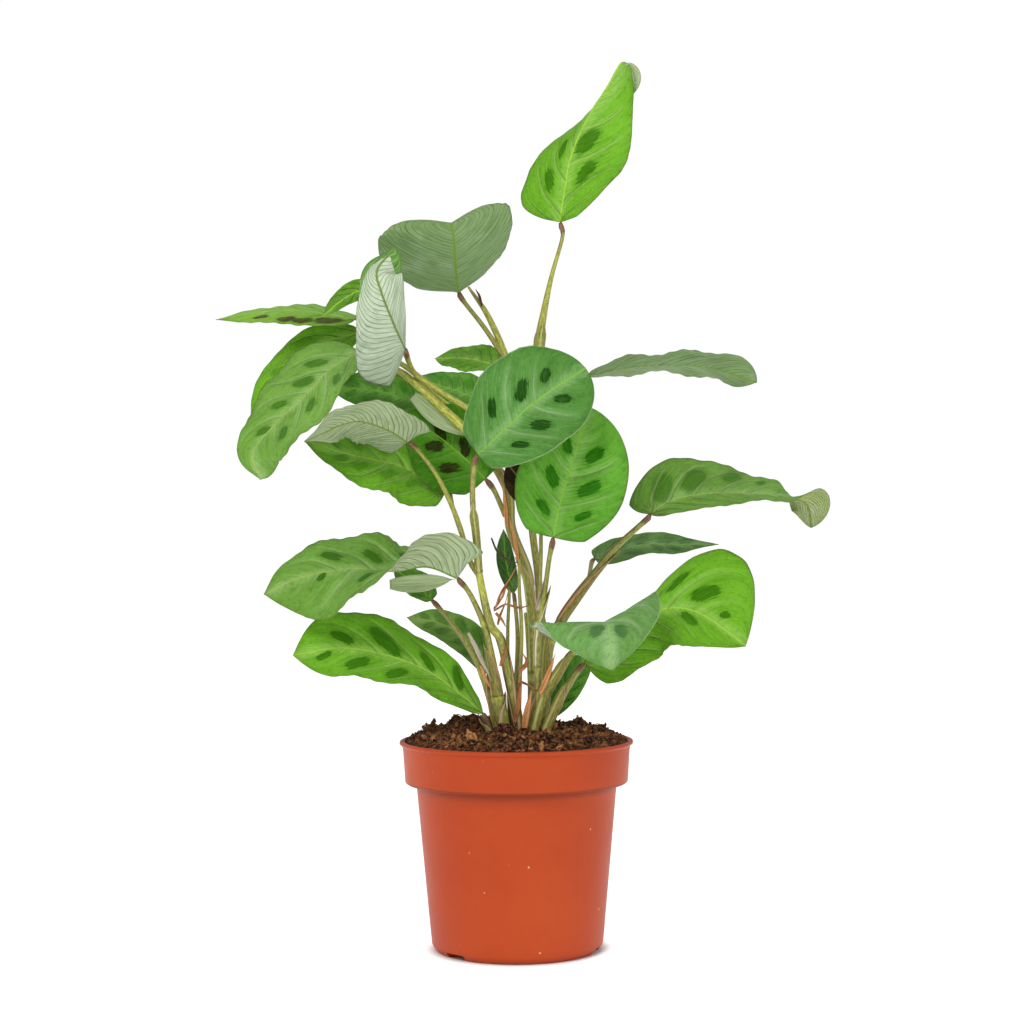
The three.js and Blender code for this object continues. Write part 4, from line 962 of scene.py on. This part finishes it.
def thick_sheet(grid, above, below):
    """A closed sheet round a grid: its points, its quads (upper face, lower face, then the rim),
    and 0 for each quad of the upper face and 1 for the others."""
    rows, columns = grid.shape[:2]
    normals = grid_normals(grid)
    upper = (grid + normals * above[..., None]).reshape(-1, 3)
    lower = (grid - normals * below[..., None]).reshape(-1, 3)
    index = np.arange(rows * columns).reshape(rows, columns)
    a, b, c, d = index[:-1, :-1], index[:-1, 1:], index[1:, 1:], index[1:, :-1]
    top_faces = np.stack([a, b, c, d], axis=-1).reshape(-1, 4)
    bottom_faces = (np.stack([a, d, c, b], axis=-1) + rows * columns).reshape(-1, 4)
    ring = np.concatenate([index[0, :-1], index[:-1, -1], index[-1, :0:-1], index[:0:-1, 0]])
    after = np.roll(ring, -1)
    rim = np.stack([ring, ring + rows * columns, after + rows * columns, after], axis=-1)
    faces = np.concatenate([top_faces, bottom_faces, rim])
    kinds = [0] * len(top_faces) + [1] * len(bottom_faces) + [1] * len(rim)
    return np.concatenate([upper, lower]), faces.tolist(), kinds


def seen_at(points):
    """Where points (mm) are seen in the photo, in its pixels."""
    away = points[..., 1] - CAMERA_AT[1]
    per_mm = PHOTO_SIZE * CAMERA_LENS / CAMERA_SENSOR / away
    return np.stack([PHOTO_SIZE / 2 + per_mm * (points[..., 0] - CAMERA_AT[0]),
                     PHOTO_SIZE / 2 - per_mm * (points[..., 2] - CAMERA_AT[2])], axis=-1)


def blotch_centres(leaf, grid, s, t):
    """Centres (s, t) and sizes of a leaf's blotches: those seen in the photo, or else a set of its own."""
    if leaf["name"] in BLOTCHES_IN_PHOTO:
        seen = seen_at(grid)
        centres = []
        for u, v, size in BLOTCHES_IN_PHOTO[leaf["name"]]:
            off = np.linalg.norm(seen - np.array((u, v)), axis=-1)
            row, column = np.unravel_index(np.argmin(off), off.shape)
            centres.append((s[row], t[column], size))
        return centres
    draw = random.Random("blotches " + leaf["name"])
    return [(0.25 + 0.17 * k + 0.06 * (side > 0) + draw.uniform(-0.03, 0.03),
             side * (0.42 - 0.03 * k + draw.uniform(-0.06, 0.06)), draw.uniform(0.6, 1.1))
            for k in range(4) for side in (-1, 1)]


def spot_field(leaf, grid, s, t, centres):
    """At each place of a blade, how far it is from the nearest blotch, in that blotch's own size."""
    length = np.linalg.norm(np.diff(grid[:, len(t) // 2], axis=0), axis=1).sum()
    widths = widths_of(grid)
    stretch, slant = BLOTCH_FORMS.get(leaf["name"], (1.0, BLOTCH_SLANT))
    slant = math.radians(slant)
    nearest = np.full(grid.shape[:2], BLOTCH_FAR)
    for spot_s, spot_t, size in centres:
        row = int(np.argmin(np.abs(s - spot_s)))
        ahead = (s - spot_s)[:, None] * length
        out = (np.abs(t)[None, :] - abs(spot_t)) * widths[row]
        same = np.sign(t)[None, :] == np.sign(spot_t)
        long_way = ahead * math.cos(slant) + out * math.sin(slant)
        short_way = ahead * math.sin(slant) - out * math.cos(slant)
        long_share = np.abs(long_way / (BLOTCH_LENGTH / 2 * size * stretch)) ** BLOTCH_BOXINESS
        short_share = np.abs(short_way / (BLOTCH_WIDTH / 2 * size)) ** BLOTCH_BOXINESS
        away = (long_share + short_share) ** (1 / BLOTCH_BOXINESS)
        away = np.where(same | (np.abs(t)[None, :] < 0.02), away, BLOTCH_FAR)
        nearest = np.minimum(nearest, away)
    return nearest


def vein_bend(r):
    """How far towards the tip a side vein has run by r, as a share of the blade's length."""
    return 0.17 * r + 0.16 * r * r


def vein_counts(centres, s, t, length):
    """For each half of a blade, numbers that are whole on its main side veins. The veins pass
    between the blotches, and go on evenly for some veins before the first and after the last."""
    beyond = 9
    counts = []
    for sign in (-1, 1):
        spots = sorted(spot_s - vein_bend(abs(spot_t)) for spot_s, spot_t, _ in centres if spot_t * sign > 0)
        knots = []
        for spot in spots:
            if not knots or spot - knots[-1] > 0.08:
                knots.append(spot)
        gap = VEIN_GAP / length
        if len(knots) > 1:
            gap = min(1.4 * gap, (knots[-1] - knots[0]) / (len(knots) - 1))
        knots = knots or [0.3]
        values = [0.5 + k for k in range(len(knots))]
        knots = [knots[0] - beyond * gap, *knots, knots[-1] + beyond * gap]
        values = [values[0] - beyond, *values, values[-1] + beyond]
        place = s[:, None] - vein_bend(np.abs(t))[None, :]
        counts.append(np.interp(place, knots, values))
    return counts


def quilted(grid, s, t, counts):
    """The blade with its surface raised between the side veins."""
    left, right = counts
    count = np.where(t[None, :] < 0, left, right)
    widths = widths_of(grid)
    ends = ease_ends(s) * np.minimum(1, widths / 20)
    across = np.sin(math.pi * np.abs(t)) ** 0.8
    rise = np.abs(np.sin(math.pi * count)) ** 0.9 - 0.6
    return grid + grid_normals(grid) * (QUILT_HEIGHT * rise * ends[:, None] * across[None, :])[..., None]


def vein_corners(counts, columns):
    """The counts for each corner of the faces that thick_sheet makes, in their order."""
    left, right = (np.stack([c[:-1, :-1], c[:-1, 1:], c[1:, 1:], c[1:, :-1]], axis=-1) for c in counts)
    top = np.concatenate([left[:, :columns], right[:, columns:]], axis=1).reshape(-1, 4)
    return np.concatenate([top, top[:, [0, 3, 2, 1]]]).ravel()


def make_leaf(leaf, uppers, unders):
    """A blade with its midrib and quilting, and with the marks that its materials read."""
    name = leaf["name"]
    kind = LEAF_KINDS.get(name, "mid")
    grid, s, length = blade_grid(leaf, BLADE_ROWS, BLADE_COLUMNS)
    t = np.linspace(-1, 1, 2 * BLADE_COLUMNS + 1)
    centres = blotch_centres(leaf, grid, s, t)
    counts = vein_counts(centres, s, t, length)
    spots = spot_field(leaf, grid, s, t, centres)
    grid = quilted(grid, s, t, counts)
    widths = widths_of(grid)
    distance = np.abs(t)[None, :] * widths[:, None]
    fade = np.clip(1.15 - s, 0.1, 1)[:, None]
    rib = RIB_HEIGHT * fade * np.exp(-(distance / RIB_WIDTH) ** 2)
    edge = np.clip(1.6 * (1 - np.abs(t)), 0.25, 1)[None, :]
    above = BLADE_THICKNESS / 2 * edge - 0.35 * rib
    below = BLADE_THICKNESS / 2 * edge + rib
    points, faces, kinds = thick_sheet(grid, above, below)
    uv = np.stack(np.broadcast_arrays(0.5 + 0.5 * t[None, :], s[:, None]), axis=-1).reshape(-1, 2)
    faced = [uppers[kind], unders[UNDER_KINDS.get(name, "silver")]]
    piece = mesh_object(name + "_blade", points, faces, faced, kinds, np.concatenate([uv, uv]))
    # The count differs on the two sides of the midrib, so it is kept for each corner of a face.
    corners = np.zeros(len(piece.data.loops))
    at_corners = vein_corners(counts, BLADE_COLUMNS)
    corners[:len(at_corners)] = at_corners
    piece.data.attributes.new("vein_count", "FLOAT", "CORNER").data.foreach_set("value", corners)
    mark(piece, "half", np.tile(np.repeat(np.maximum(widths, 0.4), len(t)), 2).tolist())
    mark(piece, "spot", np.tile(spots.ravel(), 2).tolist())
    mark(piece, "blotch", BLOTCH_STRENGTHS.get(name, 0.95))
    # How much painted shade darkens this blade.
    mark(piece, "tone", LEAF_SHADE_DARKENING.get(name, 0.0))
    start, left_slope, right_slope = TURNED_TIPS.get(name, (2.0, 0.0, 0.0))
    slopes = np.where(t < 0, left_slope, right_slope) * np.abs(t)
    turned = np.clip(0.5 + 12 * (s[:, None] + slopes[None, :] - start), 0, 1)
    mark(piece, "turned", np.tile(turned.ravel(), 2).tolist())
    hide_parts(name)
    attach(piece, "root")


def frames_along(points):
    """Two steady cross directions along a line of points."""
    along = unit(np.gradient(points, axis=0))
    first = np.cross(along[0], [0.0, 1.0, 0.0])
    side = unit(first if np.linalg.norm(first) > 0.1 else np.cross(along[0], [1.0, 0.0, 0.0]))
    sides = []
    for direction in along:
        side = unit(side - direction * side.dot(direction))
        sides.append(side)
    sides = np.array(sides)
    return sides, np.cross(along, sides)


def whole_line(leaf_name, line):
    """A stalk's whole line, led on to its leaf if it has one, with the radius as the fourth number."""
    line = [list(p) for p in line]
    if leaf_name:
        midrib = next(leaf["midrib"] for leaf in LEAVES if leaf["name"] == leaf_name)
        start = np.array(midrib[0], dtype=float)
        end = start - unit(np.array(midrib[1]) - start) * STALK_GAP
        line.append([*end, STALK_TIP_RADIUS])
    return line


def swelling(shares, length, knots, leafy):
    """How many times thicker a stalk is at its nodes, and at the joint just below its blade."""
    size = np.ones_like(shares)
    for knot in knots:
        size += NODE_SWELLING * np.exp(-(((shares - knot) * length / NODE_LENGTH) ** 2))
    if leafy:
        from_joint = (1 - shares) * length - JOINT_FROM_TIP
        size += JOINT_SWELLING * np.exp(-((from_joint / JOINT_LENGTH) ** 2))
    return size


def ring_faces(rings, sides):
    """Quads between each ring of points and the next."""
    faces = []
    for i in range(rings - 1):
        for j in range(sides):
            a = i * sides + j
            b = i * sides + (j + 1) % sides
            faces.append((a, b, b + sides, a + sides))
    return faces


def tube(line, sides, knots=(), leafy=False):
    """A closed round tube through [x, y, z, radius]: points, faces, uvs, shares and length."""
    _, lengths = spline(line)
    length = lengths[-1]
    count = max(4, int(length / STALK_STEP))
    shares = np.linspace(0, 1, count + 1)
    samples, _ = along_line(line, shares)
    centres = samples[:, :3]
    radii = samples[:, 3] * swelling(shares, length, knots, leafy)
    normals, binormals = frames_along(centres)
    turns = np.arange(sides) * 2 * math.pi / sides
    outward = (np.cos(turns)[None, :, None] * normals[:, None]
               + np.sin(turns)[None, :, None] * binormals[:, None])
    rings = centres[:, None] + radii[:, None, None] * outward
    points = rings.reshape(-1, 3).tolist()
    faces = ring_faces(count + 1, sides)
    # Rounded ends.
    for ring, sign in ((0, -1), (count, 1)):
        direction = centres[ring] - centres[ring - sign]
        direction = direction / np.linalg.norm(direction)
        points.append((centres[ring] + direction * radii[ring] * 0.35).tolist())
        middle = len(points) - 1
        for j in range(sides):
            a = ring * sides + j
            b = ring * sides + (j + 1) % sides
            faces.append((a, b, middle) if sign > 0 else (b, a, middle))
    across = np.abs(np.linspace(-1, 1, sides, endpoint=False))
    uvs = [(across[j], shares[i] * length * UV_PER_MM) for i in range(count + 1) for j in range(sides)]
    uvs += [(0.5, 0.0), (0.5, length * UV_PER_MM)]
    marks = [shares[i] for i in range(count + 1) for _ in range(sides)] + [0.0, 1.0]
    return points, faces, uvs, np.array(marks), length


def make_shoot(name, stalks, material):
    """A shoot's stalks: redder in the soil and at the joint below a blade, brighter at their nodes."""
    points, faces, uvs = [], [], []
    redness, bright = [], []
    for number, (leaf_name, stalk_line) in enumerate(stalks):
        line = whole_line(leaf_name, stalk_line)
        leafy = leaf_name is not None
        knots = STALK_NODES.get((name, number), [])
        new_points, new_faces, new_uvs, shares, length = tube(line, STALK_SIDES, knots, leafy)
        start = len(points)
        points += new_points
        faces += [tuple(i + start for i in face) for face in new_faces]
        uvs += new_uvs
        from_tip = (1 - shares) * length
        red = np.full_like(shares, 0.1)
        if line[0][2] < SOIL_EDGE:
            red += 0.5 * np.exp(-((shares * length - 10) / 22) ** 2)
        if leafy:
            red = np.maximum(red, 0.9 * np.exp(-((from_tip - 2) / 4.5) ** 4))
        glow = np.zeros_like(shares)
        for knot in knots:
            glow = np.maximum(glow, 0.8 * np.exp(-((shares - knot) * length / 1.5) ** 2))
        for low, high, strength in BRIGHT_STRETCHES.get((name, number), []):
            inside = np.clip(np.minimum(shares - low, high - shares) * length / 4, 0, 1)
            glow = np.maximum(glow, strength * inside)
        redness += red.tolist()
        bright += glow.tolist()
    piece = mesh_object(name + "_stalks", points, faces, [material], uvs=uvs)
    mark(piece, "redness", redness)
    mark(piece, "bright", bright)
    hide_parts(name)
    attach(piece, "root")


def make_thin_stem(number, line, bright, material):
    """A bare stem that is in this model alone."""
    points, faces, uvs, _, _ = tube(line, THIN_STEM_SIDES)
    piece = mesh_object("thin_stem_%d" % number, points, faces, [material], uvs=uvs)
    mark(piece, "redness", 0.3)
    mark(piece, "bright", bright)
    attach(piece, "root")


def thin_sheet(name, grid, lengths, material):
    """A thin sheet on a grid; lengths are how far along it its rows are (mm)."""
    thin = np.full(grid.shape[:2], SHEET_THICKNESS / 2)
    points, faces, _ = thick_sheet(grid, thin, thin)
    across = np.linspace(0, 1, grid.shape[1])
    uv = np.stack(np.meshgrid(across, lengths * UV_PER_MM), axis=-1).reshape(-1, 2)
    piece = mesh_object(name, points, faces, [material], uvs=np.concatenate([uv, uv]))
    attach(piece, "root")


def make_sheath(number, shoot_name, stalk_number, low, high, turn, material):
    """A thin sleeve that clasps a stalk, narrowing to a torn tip that stands off it a little."""
    line = whole_line(*SHOOTS[shoot_name][stalk_number])
    rows, columns = SHEATH_GRID
    shares = np.linspace(low, high, rows + 1)
    samples, length = along_line(line, shares)
    centres = samples[:, :3]
    radii = samples[:, 3]
    normals, binormals = frames_along(centres)
    draw = random.Random("sheath %d" % number)
    grid = np.empty((rows + 1, columns + 1, 3))
    for i in range(rows + 1):
        t = i / rows
        arc = math.radians(SHEATH_ARC) * (1 - t ** 2.2) ** 0.8 + 0.12
        stand = 0.15 + 0.25 * t + 1.1 * t ** 5
        for j in range(columns + 1):
            angle = math.radians(turn) + arc * (j / columns - 0.5)
            ripple = 0.08 * math.sin(5 * angle + 9 * t + number)
            radius = radii[i] + stand + ripple
            grid[i, j] = centres[i] + radius * (math.cos(angle) * normals[i] + math.sin(angle) * binormals[i])
    grid[-1] += unit(centres[-1] - centres[-2]) * draw.uniform(1.0, 2.5)
    thin_sheet("sheath_%02d" % number, grid, shares * length, material)


def make_strip(number, points, width, twist, material):
    """A thin curled scrap: dry tissue of an old leaf sheath, or a pale flap of a blade."""
    rows, columns = STRIP_GRID
    shares = np.linspace(0, 1, rows + 1)
    middle, length = along_line(points, shares)
    sides, others = frames_along(middle)
    grid = np.empty((rows + 1, columns + 1, 3))
    for i in range(rows + 1):
        t = i / rows
        half = width * math.sin(math.pi * min(1, 0.12 + 0.95 * t)) ** 0.7 / 2
        angle = math.radians(twist) * t
        side = math.cos(angle) * sides[i] + math.sin(angle) * others[i]
        out = math.cos(angle) * others[i] - math.sin(angle) * sides[i]
        for j in range(columns + 1):
            across = 2 * j / columns - 1
            cup = 0.45 * half * across ** 2 + 0.2 * math.sin(6 * t + 3 * across + number)
            grid[i, j] = middle[i] + side * half * across + out * cup
    thin_sheet("bract_%02d" % number, grid, shares * length, material)


def corner(radius, z, size, start, steps=4):
    """Points round a rounded corner, turning a right angle from the start direction (degrees)."""
    out = []
    for k in range(steps + 1):
        angle = math.radians(start + 90 * k / steps)
        out.append([radius + size * math.cos(angle), z + size * math.sin(angle)])
    return out


def make_pot(material):
    """The pot as one body, with its water notches and drain holes cut out."""
    inside = BAND_TOP_RADIUS - WALL
    profile = [[0, 0], [FOOT_RADIUS - 1.2, 0]]
    profile += [[FOOT_RADIUS - 0.4, 0.1], [FOOT_RADIUS + 0.2, 0.5],
                [BODY_FOOT_RADIUS - 0.5, FOOT_CHAMFER - 0.8], [BODY_FOOT_RADIUS, FOOT_CHAMFER + 0.4]]
    profile += [[BODY_FOOT_RADIUS + (BODY_TOP_RADIUS - BODY_FOOT_RADIUS) * k / 10,
                 FOOT_CHAMFER + (BAND_FOOT - 1.6 - FOOT_CHAMFER) * k / 10] for k in range(1, 11)]
    profile += [[BODY_TOP_RADIUS + 0.6, BAND_FOOT - 0.75]]
    profile += corner(BAND_FOOT_RADIUS - 1.4, BAND_FOOT + 0.8, 1.4, -90)
    profile += [[BAND_TOP_RADIUS - 0.35, POT_HEIGHT - 5], [BAND_TOP_RADIUS, POT_HEIGHT - 2.6]]
    profile += corner(LIP_RADIUS - 0.6, POT_HEIGHT - LIP_THICKNESS + 0.5, 0.6, -60, 3)
    profile += corner(LIP_RADIUS - 0.7, POT_HEIGHT - 0.6, 0.6, 0, 4)
    profile += [[inside + 0.4, POT_HEIGHT], [inside, POT_HEIGHT - 0.3], [inside - 0.1, POT_HEIGHT - 0.9],
                [BAND_FOOT_RADIUS - WALL, BAND_FOOT + 1.4], [BAND_FOOT_RADIUS - WALL - 0.5, BAND_FOOT + 0.8],
                [BODY_TOP_RADIUS - WALL, BAND_FOOT], [BODY_FOOT_RADIUS - WALL, FLOOR + 1],
                [BODY_FOOT_RADIUS - 2.4, FLOOR], [0, FLOOR]]
    pot = mesh_object("nursery_pot", *turned_shape(profile, POT_SIDES), [material])
    cutters = []
    for angle in NOTCH_ANGLES:
        turn = Matrix.Rotation(math.radians(angle - 90), 4, "Z")
        size = Matrix.Diagonal((NOTCH_DEPTH * 2 * MM, NOTCH_WIDTH * MM, NOTCH_HEIGHT * 2 * MM, 1))
        notch = bmesh.new()
        at_foot = Matrix.Translation(((BODY_FOOT_RADIUS + 1) * MM, 0, 0))
        bmesh.ops.create_cube(notch, size=1, matrix=turn @ at_foot @ size)
        edges = [edge for edge in notch.edges if all(vert.co.z > 0 for vert in edge.verts)]
        bmesh.ops.bevel(notch, geom=edges, offset=0.8 * MM, segments=3, affect="EDGES", profile=0.5)
        drain_at = BODY_FOOT_RADIUS - NOTCH_DEPTH + DRAIN_RADIUS + 3
        drain = bmesh.new()
        bmesh.ops.create_cone(drain, cap_ends=True, segments=32, radius1=DRAIN_RADIUS * MM,
                              radius2=DRAIN_RADIUS * MM, depth=FLOOR * 3 * MM,
                              matrix=turn @ Matrix.Translation((drain_at * MM, 0, 0)))
        for shape in (notch, drain):
            mesh = bpy.data.meshes.new("cutter")
            shape.to_mesh(mesh)
            shape.free()
            cutter = bpy.data.objects.new("cutter", mesh)
            bpy.context.scene.collection.objects.link(cutter)
            cutters.append(cutter)
    for cutter in cutters:
        cut = pot.modifiers.new("cut", "BOOLEAN")
        cut.operation = "DIFFERENCE"
        cut.solver = "EXACT"
        cut.object = cutter
    settle(pot)
    for cutter in cutters:
        bpy.data.objects.remove(cutter)
    pot.data.polygons.foreach_set("use_smooth", [True] * len(pot.data.polygons))
    pot.data.set_sharp_from_angle(angle=math.radians(38))
    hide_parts("pot")
    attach(pot, "root")


def settle(piece):
    """Applies a piece's modifiers."""
    ready = piece.evaluated_get(bpy.context.evaluated_depsgraph_get())
    mesh = bpy.data.meshes.new_from_object(ready)
    piece.modifiers.clear()
    piece.data = mesh


def soil_height(x, y):
    """Height of the soil's top above its level at the lip: the heap, its clods, and crumbs."""
    distance = math.hypot(x, y)
    inward = max(0.0, 1 - distance / LIP_RADIUS)
    height = SOIL_HEAP * min(1, 2.2 * inward)
    ripple = (1.3 * math.sin(0.31 * x + 0.9) * math.cos(0.27 * y - 0.4) + 0.9 * math.sin(0.19 * x - 0.33 * y)
              + 0.6 * math.cos(0.47 * x + 0.21 * y))
    height += ripple * min(1, 5 * inward)
    for clod_x, clod_y, radius, rise in CLODS:
        height += rise * math.exp(-((x - clod_x) ** 2 + (y - clod_y) ** 2) / radius ** 2)
    lumps = 0.0
    for scale, size in LUMPS:
        near = noise.voronoi(Vector((x * scale, y * scale, 3.7 * scale)))[0]
        lumps += size * (0.75 - near[0] * 1.2)
    lumps += 0.35 * noise.noise(Vector((x * 1.6, y * 1.6, 5)))
    return height + (lumps - 0.3) * min(1, 9 * inward + 0.15)


def ball_template(subdivisions):
    """Points and faces of a round ball of radius 1."""
    shape = bmesh.new()
    bmesh.ops.create_icosphere(shape, subdivisions=subdivisions, radius=1)
    points = [vert.co.copy() for vert in shape.verts]
    faces = [[vert.index for vert in face.verts] for face in shape.faces]
    shape.free()
    return points, faces


def soil_crumb(draw, x, y, size, balls):
    """One rough crumb on the soil's top: its points, faces and how light it is."""
    z = SOIL_EDGE + soil_height(x, y) + size * draw.uniform(-0.1, 0.45)
    spin = Euler([draw.uniform(0, 6.28) for _ in range(3)]).to_matrix()
    stretch = Vector((draw.uniform(0.8, 1.3), draw.uniform(0.5, 0.9), draw.uniform(0.5, 0.9)))
    seed = Vector([draw.uniform(0, 50) for _ in range(3)])
    ball, faces = balls[1] if size > 1.2 else balls[0]
    if size > 2.5:
        ball, faces = balls[2]
    points = []
    for p in ball:
        rough = 1 + 0.7 * noise.noise(p * 1.7 + seed) + 0.35 * noise.noise(p * 4.5 + seed)
        points.append(Vector((x, y, z)) + spin @ (p * stretch) * size * rough)
    return points, faces, 0.9 * draw.random() ** 1.8


def soil_fibre(draw, edge):
    """One fine fibre lying on the soil's top: its points, faces and how light it is."""
    radius = edge * math.sqrt(draw.random()) * 0.9
    turn = draw.uniform(0, 2 * math.pi)
    spot = Vector((radius * math.cos(turn), radius * math.sin(turn), 0))
    heading = draw.uniform(0, 2 * math.pi)
    step = draw.uniform(3, 11) / FIBRE_STEPS
    thick = draw.uniform(0.12, 0.3)
    light = draw.uniform(0.2, 0.9)
    points = []
    for k in range(FIBRE_STEPS):
        heading += draw.uniform(-0.5, 0.5)
        spot += Vector((math.cos(heading), math.sin(heading), 0)) * step
        if math.hypot(spot.x, spot.y) > edge - 1:
            spot *= (edge - 1) / math.hypot(spot.x, spot.y)
        rise = 0.35 + 0.5 * math.sin(k * 1.3 + turn)
        centre = Vector((spot.x, spot.y, SOIL_EDGE + soil_height(spot.x, spot.y) + rise))
        for j in range(FIBRE_SIDES):
            angle = 2 * math.pi / FIBRE_SIDES * j
            points.append(centre + thick * Vector((-math.sin(heading) * math.cos(angle),
                                                   math.cos(heading) * math.cos(angle), math.sin(angle))))
    first = list(range(FIBRE_SIDES))
    last = [len(points) - FIBRE_SIDES + j for j in first]
    return points, [first[::-1], *ring_faces(FIBRE_STEPS, FIBRE_SIDES), last], light


def make_soil(material):
    """The soil: a plug that fills the pot, heaped on top, with crumbs and fibres lying on it."""
    edge = BAND_TOP_RADIUS - WALL - 0.25
    profile = [[0, FLOOR + 0.3], [BODY_FOOT_RADIUS - 2.8, FLOOR + 0.3],
               [BODY_FOOT_RADIUS - WALL - 0.3, FLOOR + 1.4], [BODY_TOP_RADIUS - WALL - 0.3, BAND_FOOT + 0.3],
               [BAND_FOOT_RADIUS - WALL - 0.3, BAND_FOOT + 1.5]]
    profile += [[edge * (1 - i / SOIL_RINGS), SOIL_EDGE] for i in range(SOIL_RINGS + 1)]
    points, faces = turned_shape(profile, SOIL_SIDES)
    points = [Vector((x, y, z + (soil_height(x, y) if z == SOIL_EDGE else 0))) for x, y, z in points]
    shades = [max(0.0, noise.noise(p * 0.24) - 0.25) * 0.6 for p in points]
    draw = random.Random(11)
    balls = [ball_template(steps) for steps in (1, 2, 4)]
    pieces = [soil_crumb(draw, x, y, size, balls) for x, y, size in LARGE_CRUMBS]
    for _ in range(CRUMBS):
        radius = edge * math.sqrt(draw.random()) * 0.985
        turn = draw.uniform(0, 2 * math.pi)
        size = 0.4 + 1.6 * draw.random() ** 3.6
        pieces.append(soil_crumb(draw, radius * math.cos(turn), radius * math.sin(turn), size, balls))
    pieces += [soil_fibre(draw, edge) for _ in range(FIBRES)]
    for new_points, new_faces, light in pieces:
        start = len(points)
        points += new_points
        faces += [[i + start for i in face] for face in new_faces]
        shades += [light] * len(new_points)
    soil = mesh_object("potting_soil", points, faces, [material])
    mark(soil, "shade", shades)
    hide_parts("soil")
    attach(soil, "root")


def turned_shape(profile, sides):
    """Points and faces of a closed body turned about the Z axis from [radius, height] pairs."""
    points = []
    rings = []
    for radius, z in profile:
        if radius == 0:
            rings.append([len(points)] * sides)
            points.append((0, 0, z))
            continue
        rings.append(range(len(points), len(points) + sides))
        for j in range(sides):
            turn = 2 * math.pi * j / sides
            points.append((radius * math.cos(turn), radius * math.sin(turn), z))
    faces = []
    for low, high in zip(rings, rings[1:]):
        for j in range(sides):
            face = [low[j], low[(j + 1) % sides], high[(j + 1) % sides], high[j]]
            faces.append(list(dict.fromkeys(face)))
    return points, faces


def area_light(name, place, aim, size, power):
    """A rectangular light that points at its aim and isn't seen by the camera."""
    data = bpy.data.lights.new(name, "AREA")
    data.shape = "RECTANGLE"
    data.size, data.size_y = size
    data.energy = power
    lamp = bpy.data.objects.new(name, data)
    bpy.context.scene.collection.objects.link(lamp)
    lamp.location = place
    lamp.rotation_euler = (Vector(aim) - Vector(place)).to_track_quat("-Z", "Y").to_euler()
    lamp.visible_camera = False


def studio_world():
    """A white room: seen as white, and giving a soft light from all sides that is dimmer overhead."""
    world = bpy.data.worlds.new("studio")
    world.use_nodes = True
    nodes = world.node_tree.nodes
    links = world.node_tree.links
    parts = nodes.new("ShaderNodeSeparateXYZ")
    links.new(nodes.new("ShaderNodeTexCoord").outputs["Generated"], parts.inputs[0])
    height = nodes.new("ShaderNodeMapRange")
    height.interpolation_type = "SMOOTHSTEP"
    links.new(parts.outputs["Z"], height.inputs["Value"])
    height.inputs["From Min"].default_value = WORLD_CHANGE[0]
    height.inputs["From Max"].default_value = WORLD_CHANGE[1]
    height.inputs["To Min"].default_value = WORLD_SIDES
    height.inputs["To Max"].default_value = WORLD_TOP
    seen = nodes.new("ShaderNodeMix")
    links.new(nodes.new("ShaderNodeLightPath").outputs["Is Camera Ray"], seen.inputs["Factor"])
    links.new(height.outputs["Result"], seen.inputs[2])
    seen.inputs[3].default_value = WORLD_SEEN
    links.new(seen.outputs[0], nodes["Background"].inputs["Strength"])
    nodes["Background"].inputs["Color"].default_value = (1, 1, 1, 1)
    return world


def make_studio():
    """The camera, the white floor, the white room and the lights."""
    scene = bpy.context.scene
    data = bpy.data.cameras.new("camera")
    data.lens = CAMERA_LENS
    data.sensor_width = CAMERA_SENSOR
    data.clip_start = 0.05
    camera = bpy.data.objects.new("camera", data)
    scene.collection.objects.link(camera)
    camera.location = Vector(CAMERA_AT) * MM
    camera.rotation_euler = (math.radians(90), math.radians(CAMERA_ROLL), 0)
    scene.camera = camera
    bpy.ops.mesh.primitive_circle_add(vertices=96, radius=STUDIO_FLOOR_RADIUS, fill_type="NGON",
                                      location=(0, 0, 0))
    floor = bpy.context.object
    floor.name = "floor"
    floor.data.materials.append(paper_white())
    scene.world = studio_world()
    for name, light in LIGHTS.items():
        area_light(name, *light)
    scene.view_settings.view_transform = "Standard"


make_studio()
make_pot(pot_material())
make_soil(soil_material())
uppers = {kind: upper_material(kind) for kind in UPPER_COLOURS}
unders = {kind: under_material(kind) for kind in UNDER_COLOURS}
for leaf in LEAVES:
    make_leaf(leaf, uppers, unders)
stalk = stalk_material()
for shoot_name, stalks in SHOOTS.items():
    make_shoot(shoot_name, stalks, stalk)
for number, (line, bright) in enumerate(THIN_STEMS, 1):
    make_thin_stem(number, line, bright, stalk)

# Sheaths have a redness and the colour of their margin, scraps and flaps a pale and a dark colour.
papers = {
    "pale": sheath_material("sheath_pale", 0.15, "#d8d2b4"),
    "pink": sheath_material("sheath_pink", 0.5, "#c29268"),
    "green": sheath_material("sheath_green", 0.1, "#b59a70"),
    "dry": papery_material("bract_dry", "#cf8f56", "#6a381e"),
    "orange": papery_material("bract_orange", "#ffbe7a", "#8e4a22"),
    "flap": papery_material("tip_flap", "#b4c298", "#7f9a5c"),
    "white": papery_material("bract_white", "#d4cbb4", "#93876e"),
    "dark": papery_material("bract_dark", "#6b4a3c", "#3a2620"),
}
for number, (shoot_name, stalk_number, low, high, turn, paper) in enumerate(SHEATHS, 1):
    make_sheath(number, shoot_name, stalk_number, low, high, turn, papers[paper])
for number, (points, width, twist, paper) in enumerate(STRIPS, 1):
    make_strip(number, points, width, twist, papers[paper])
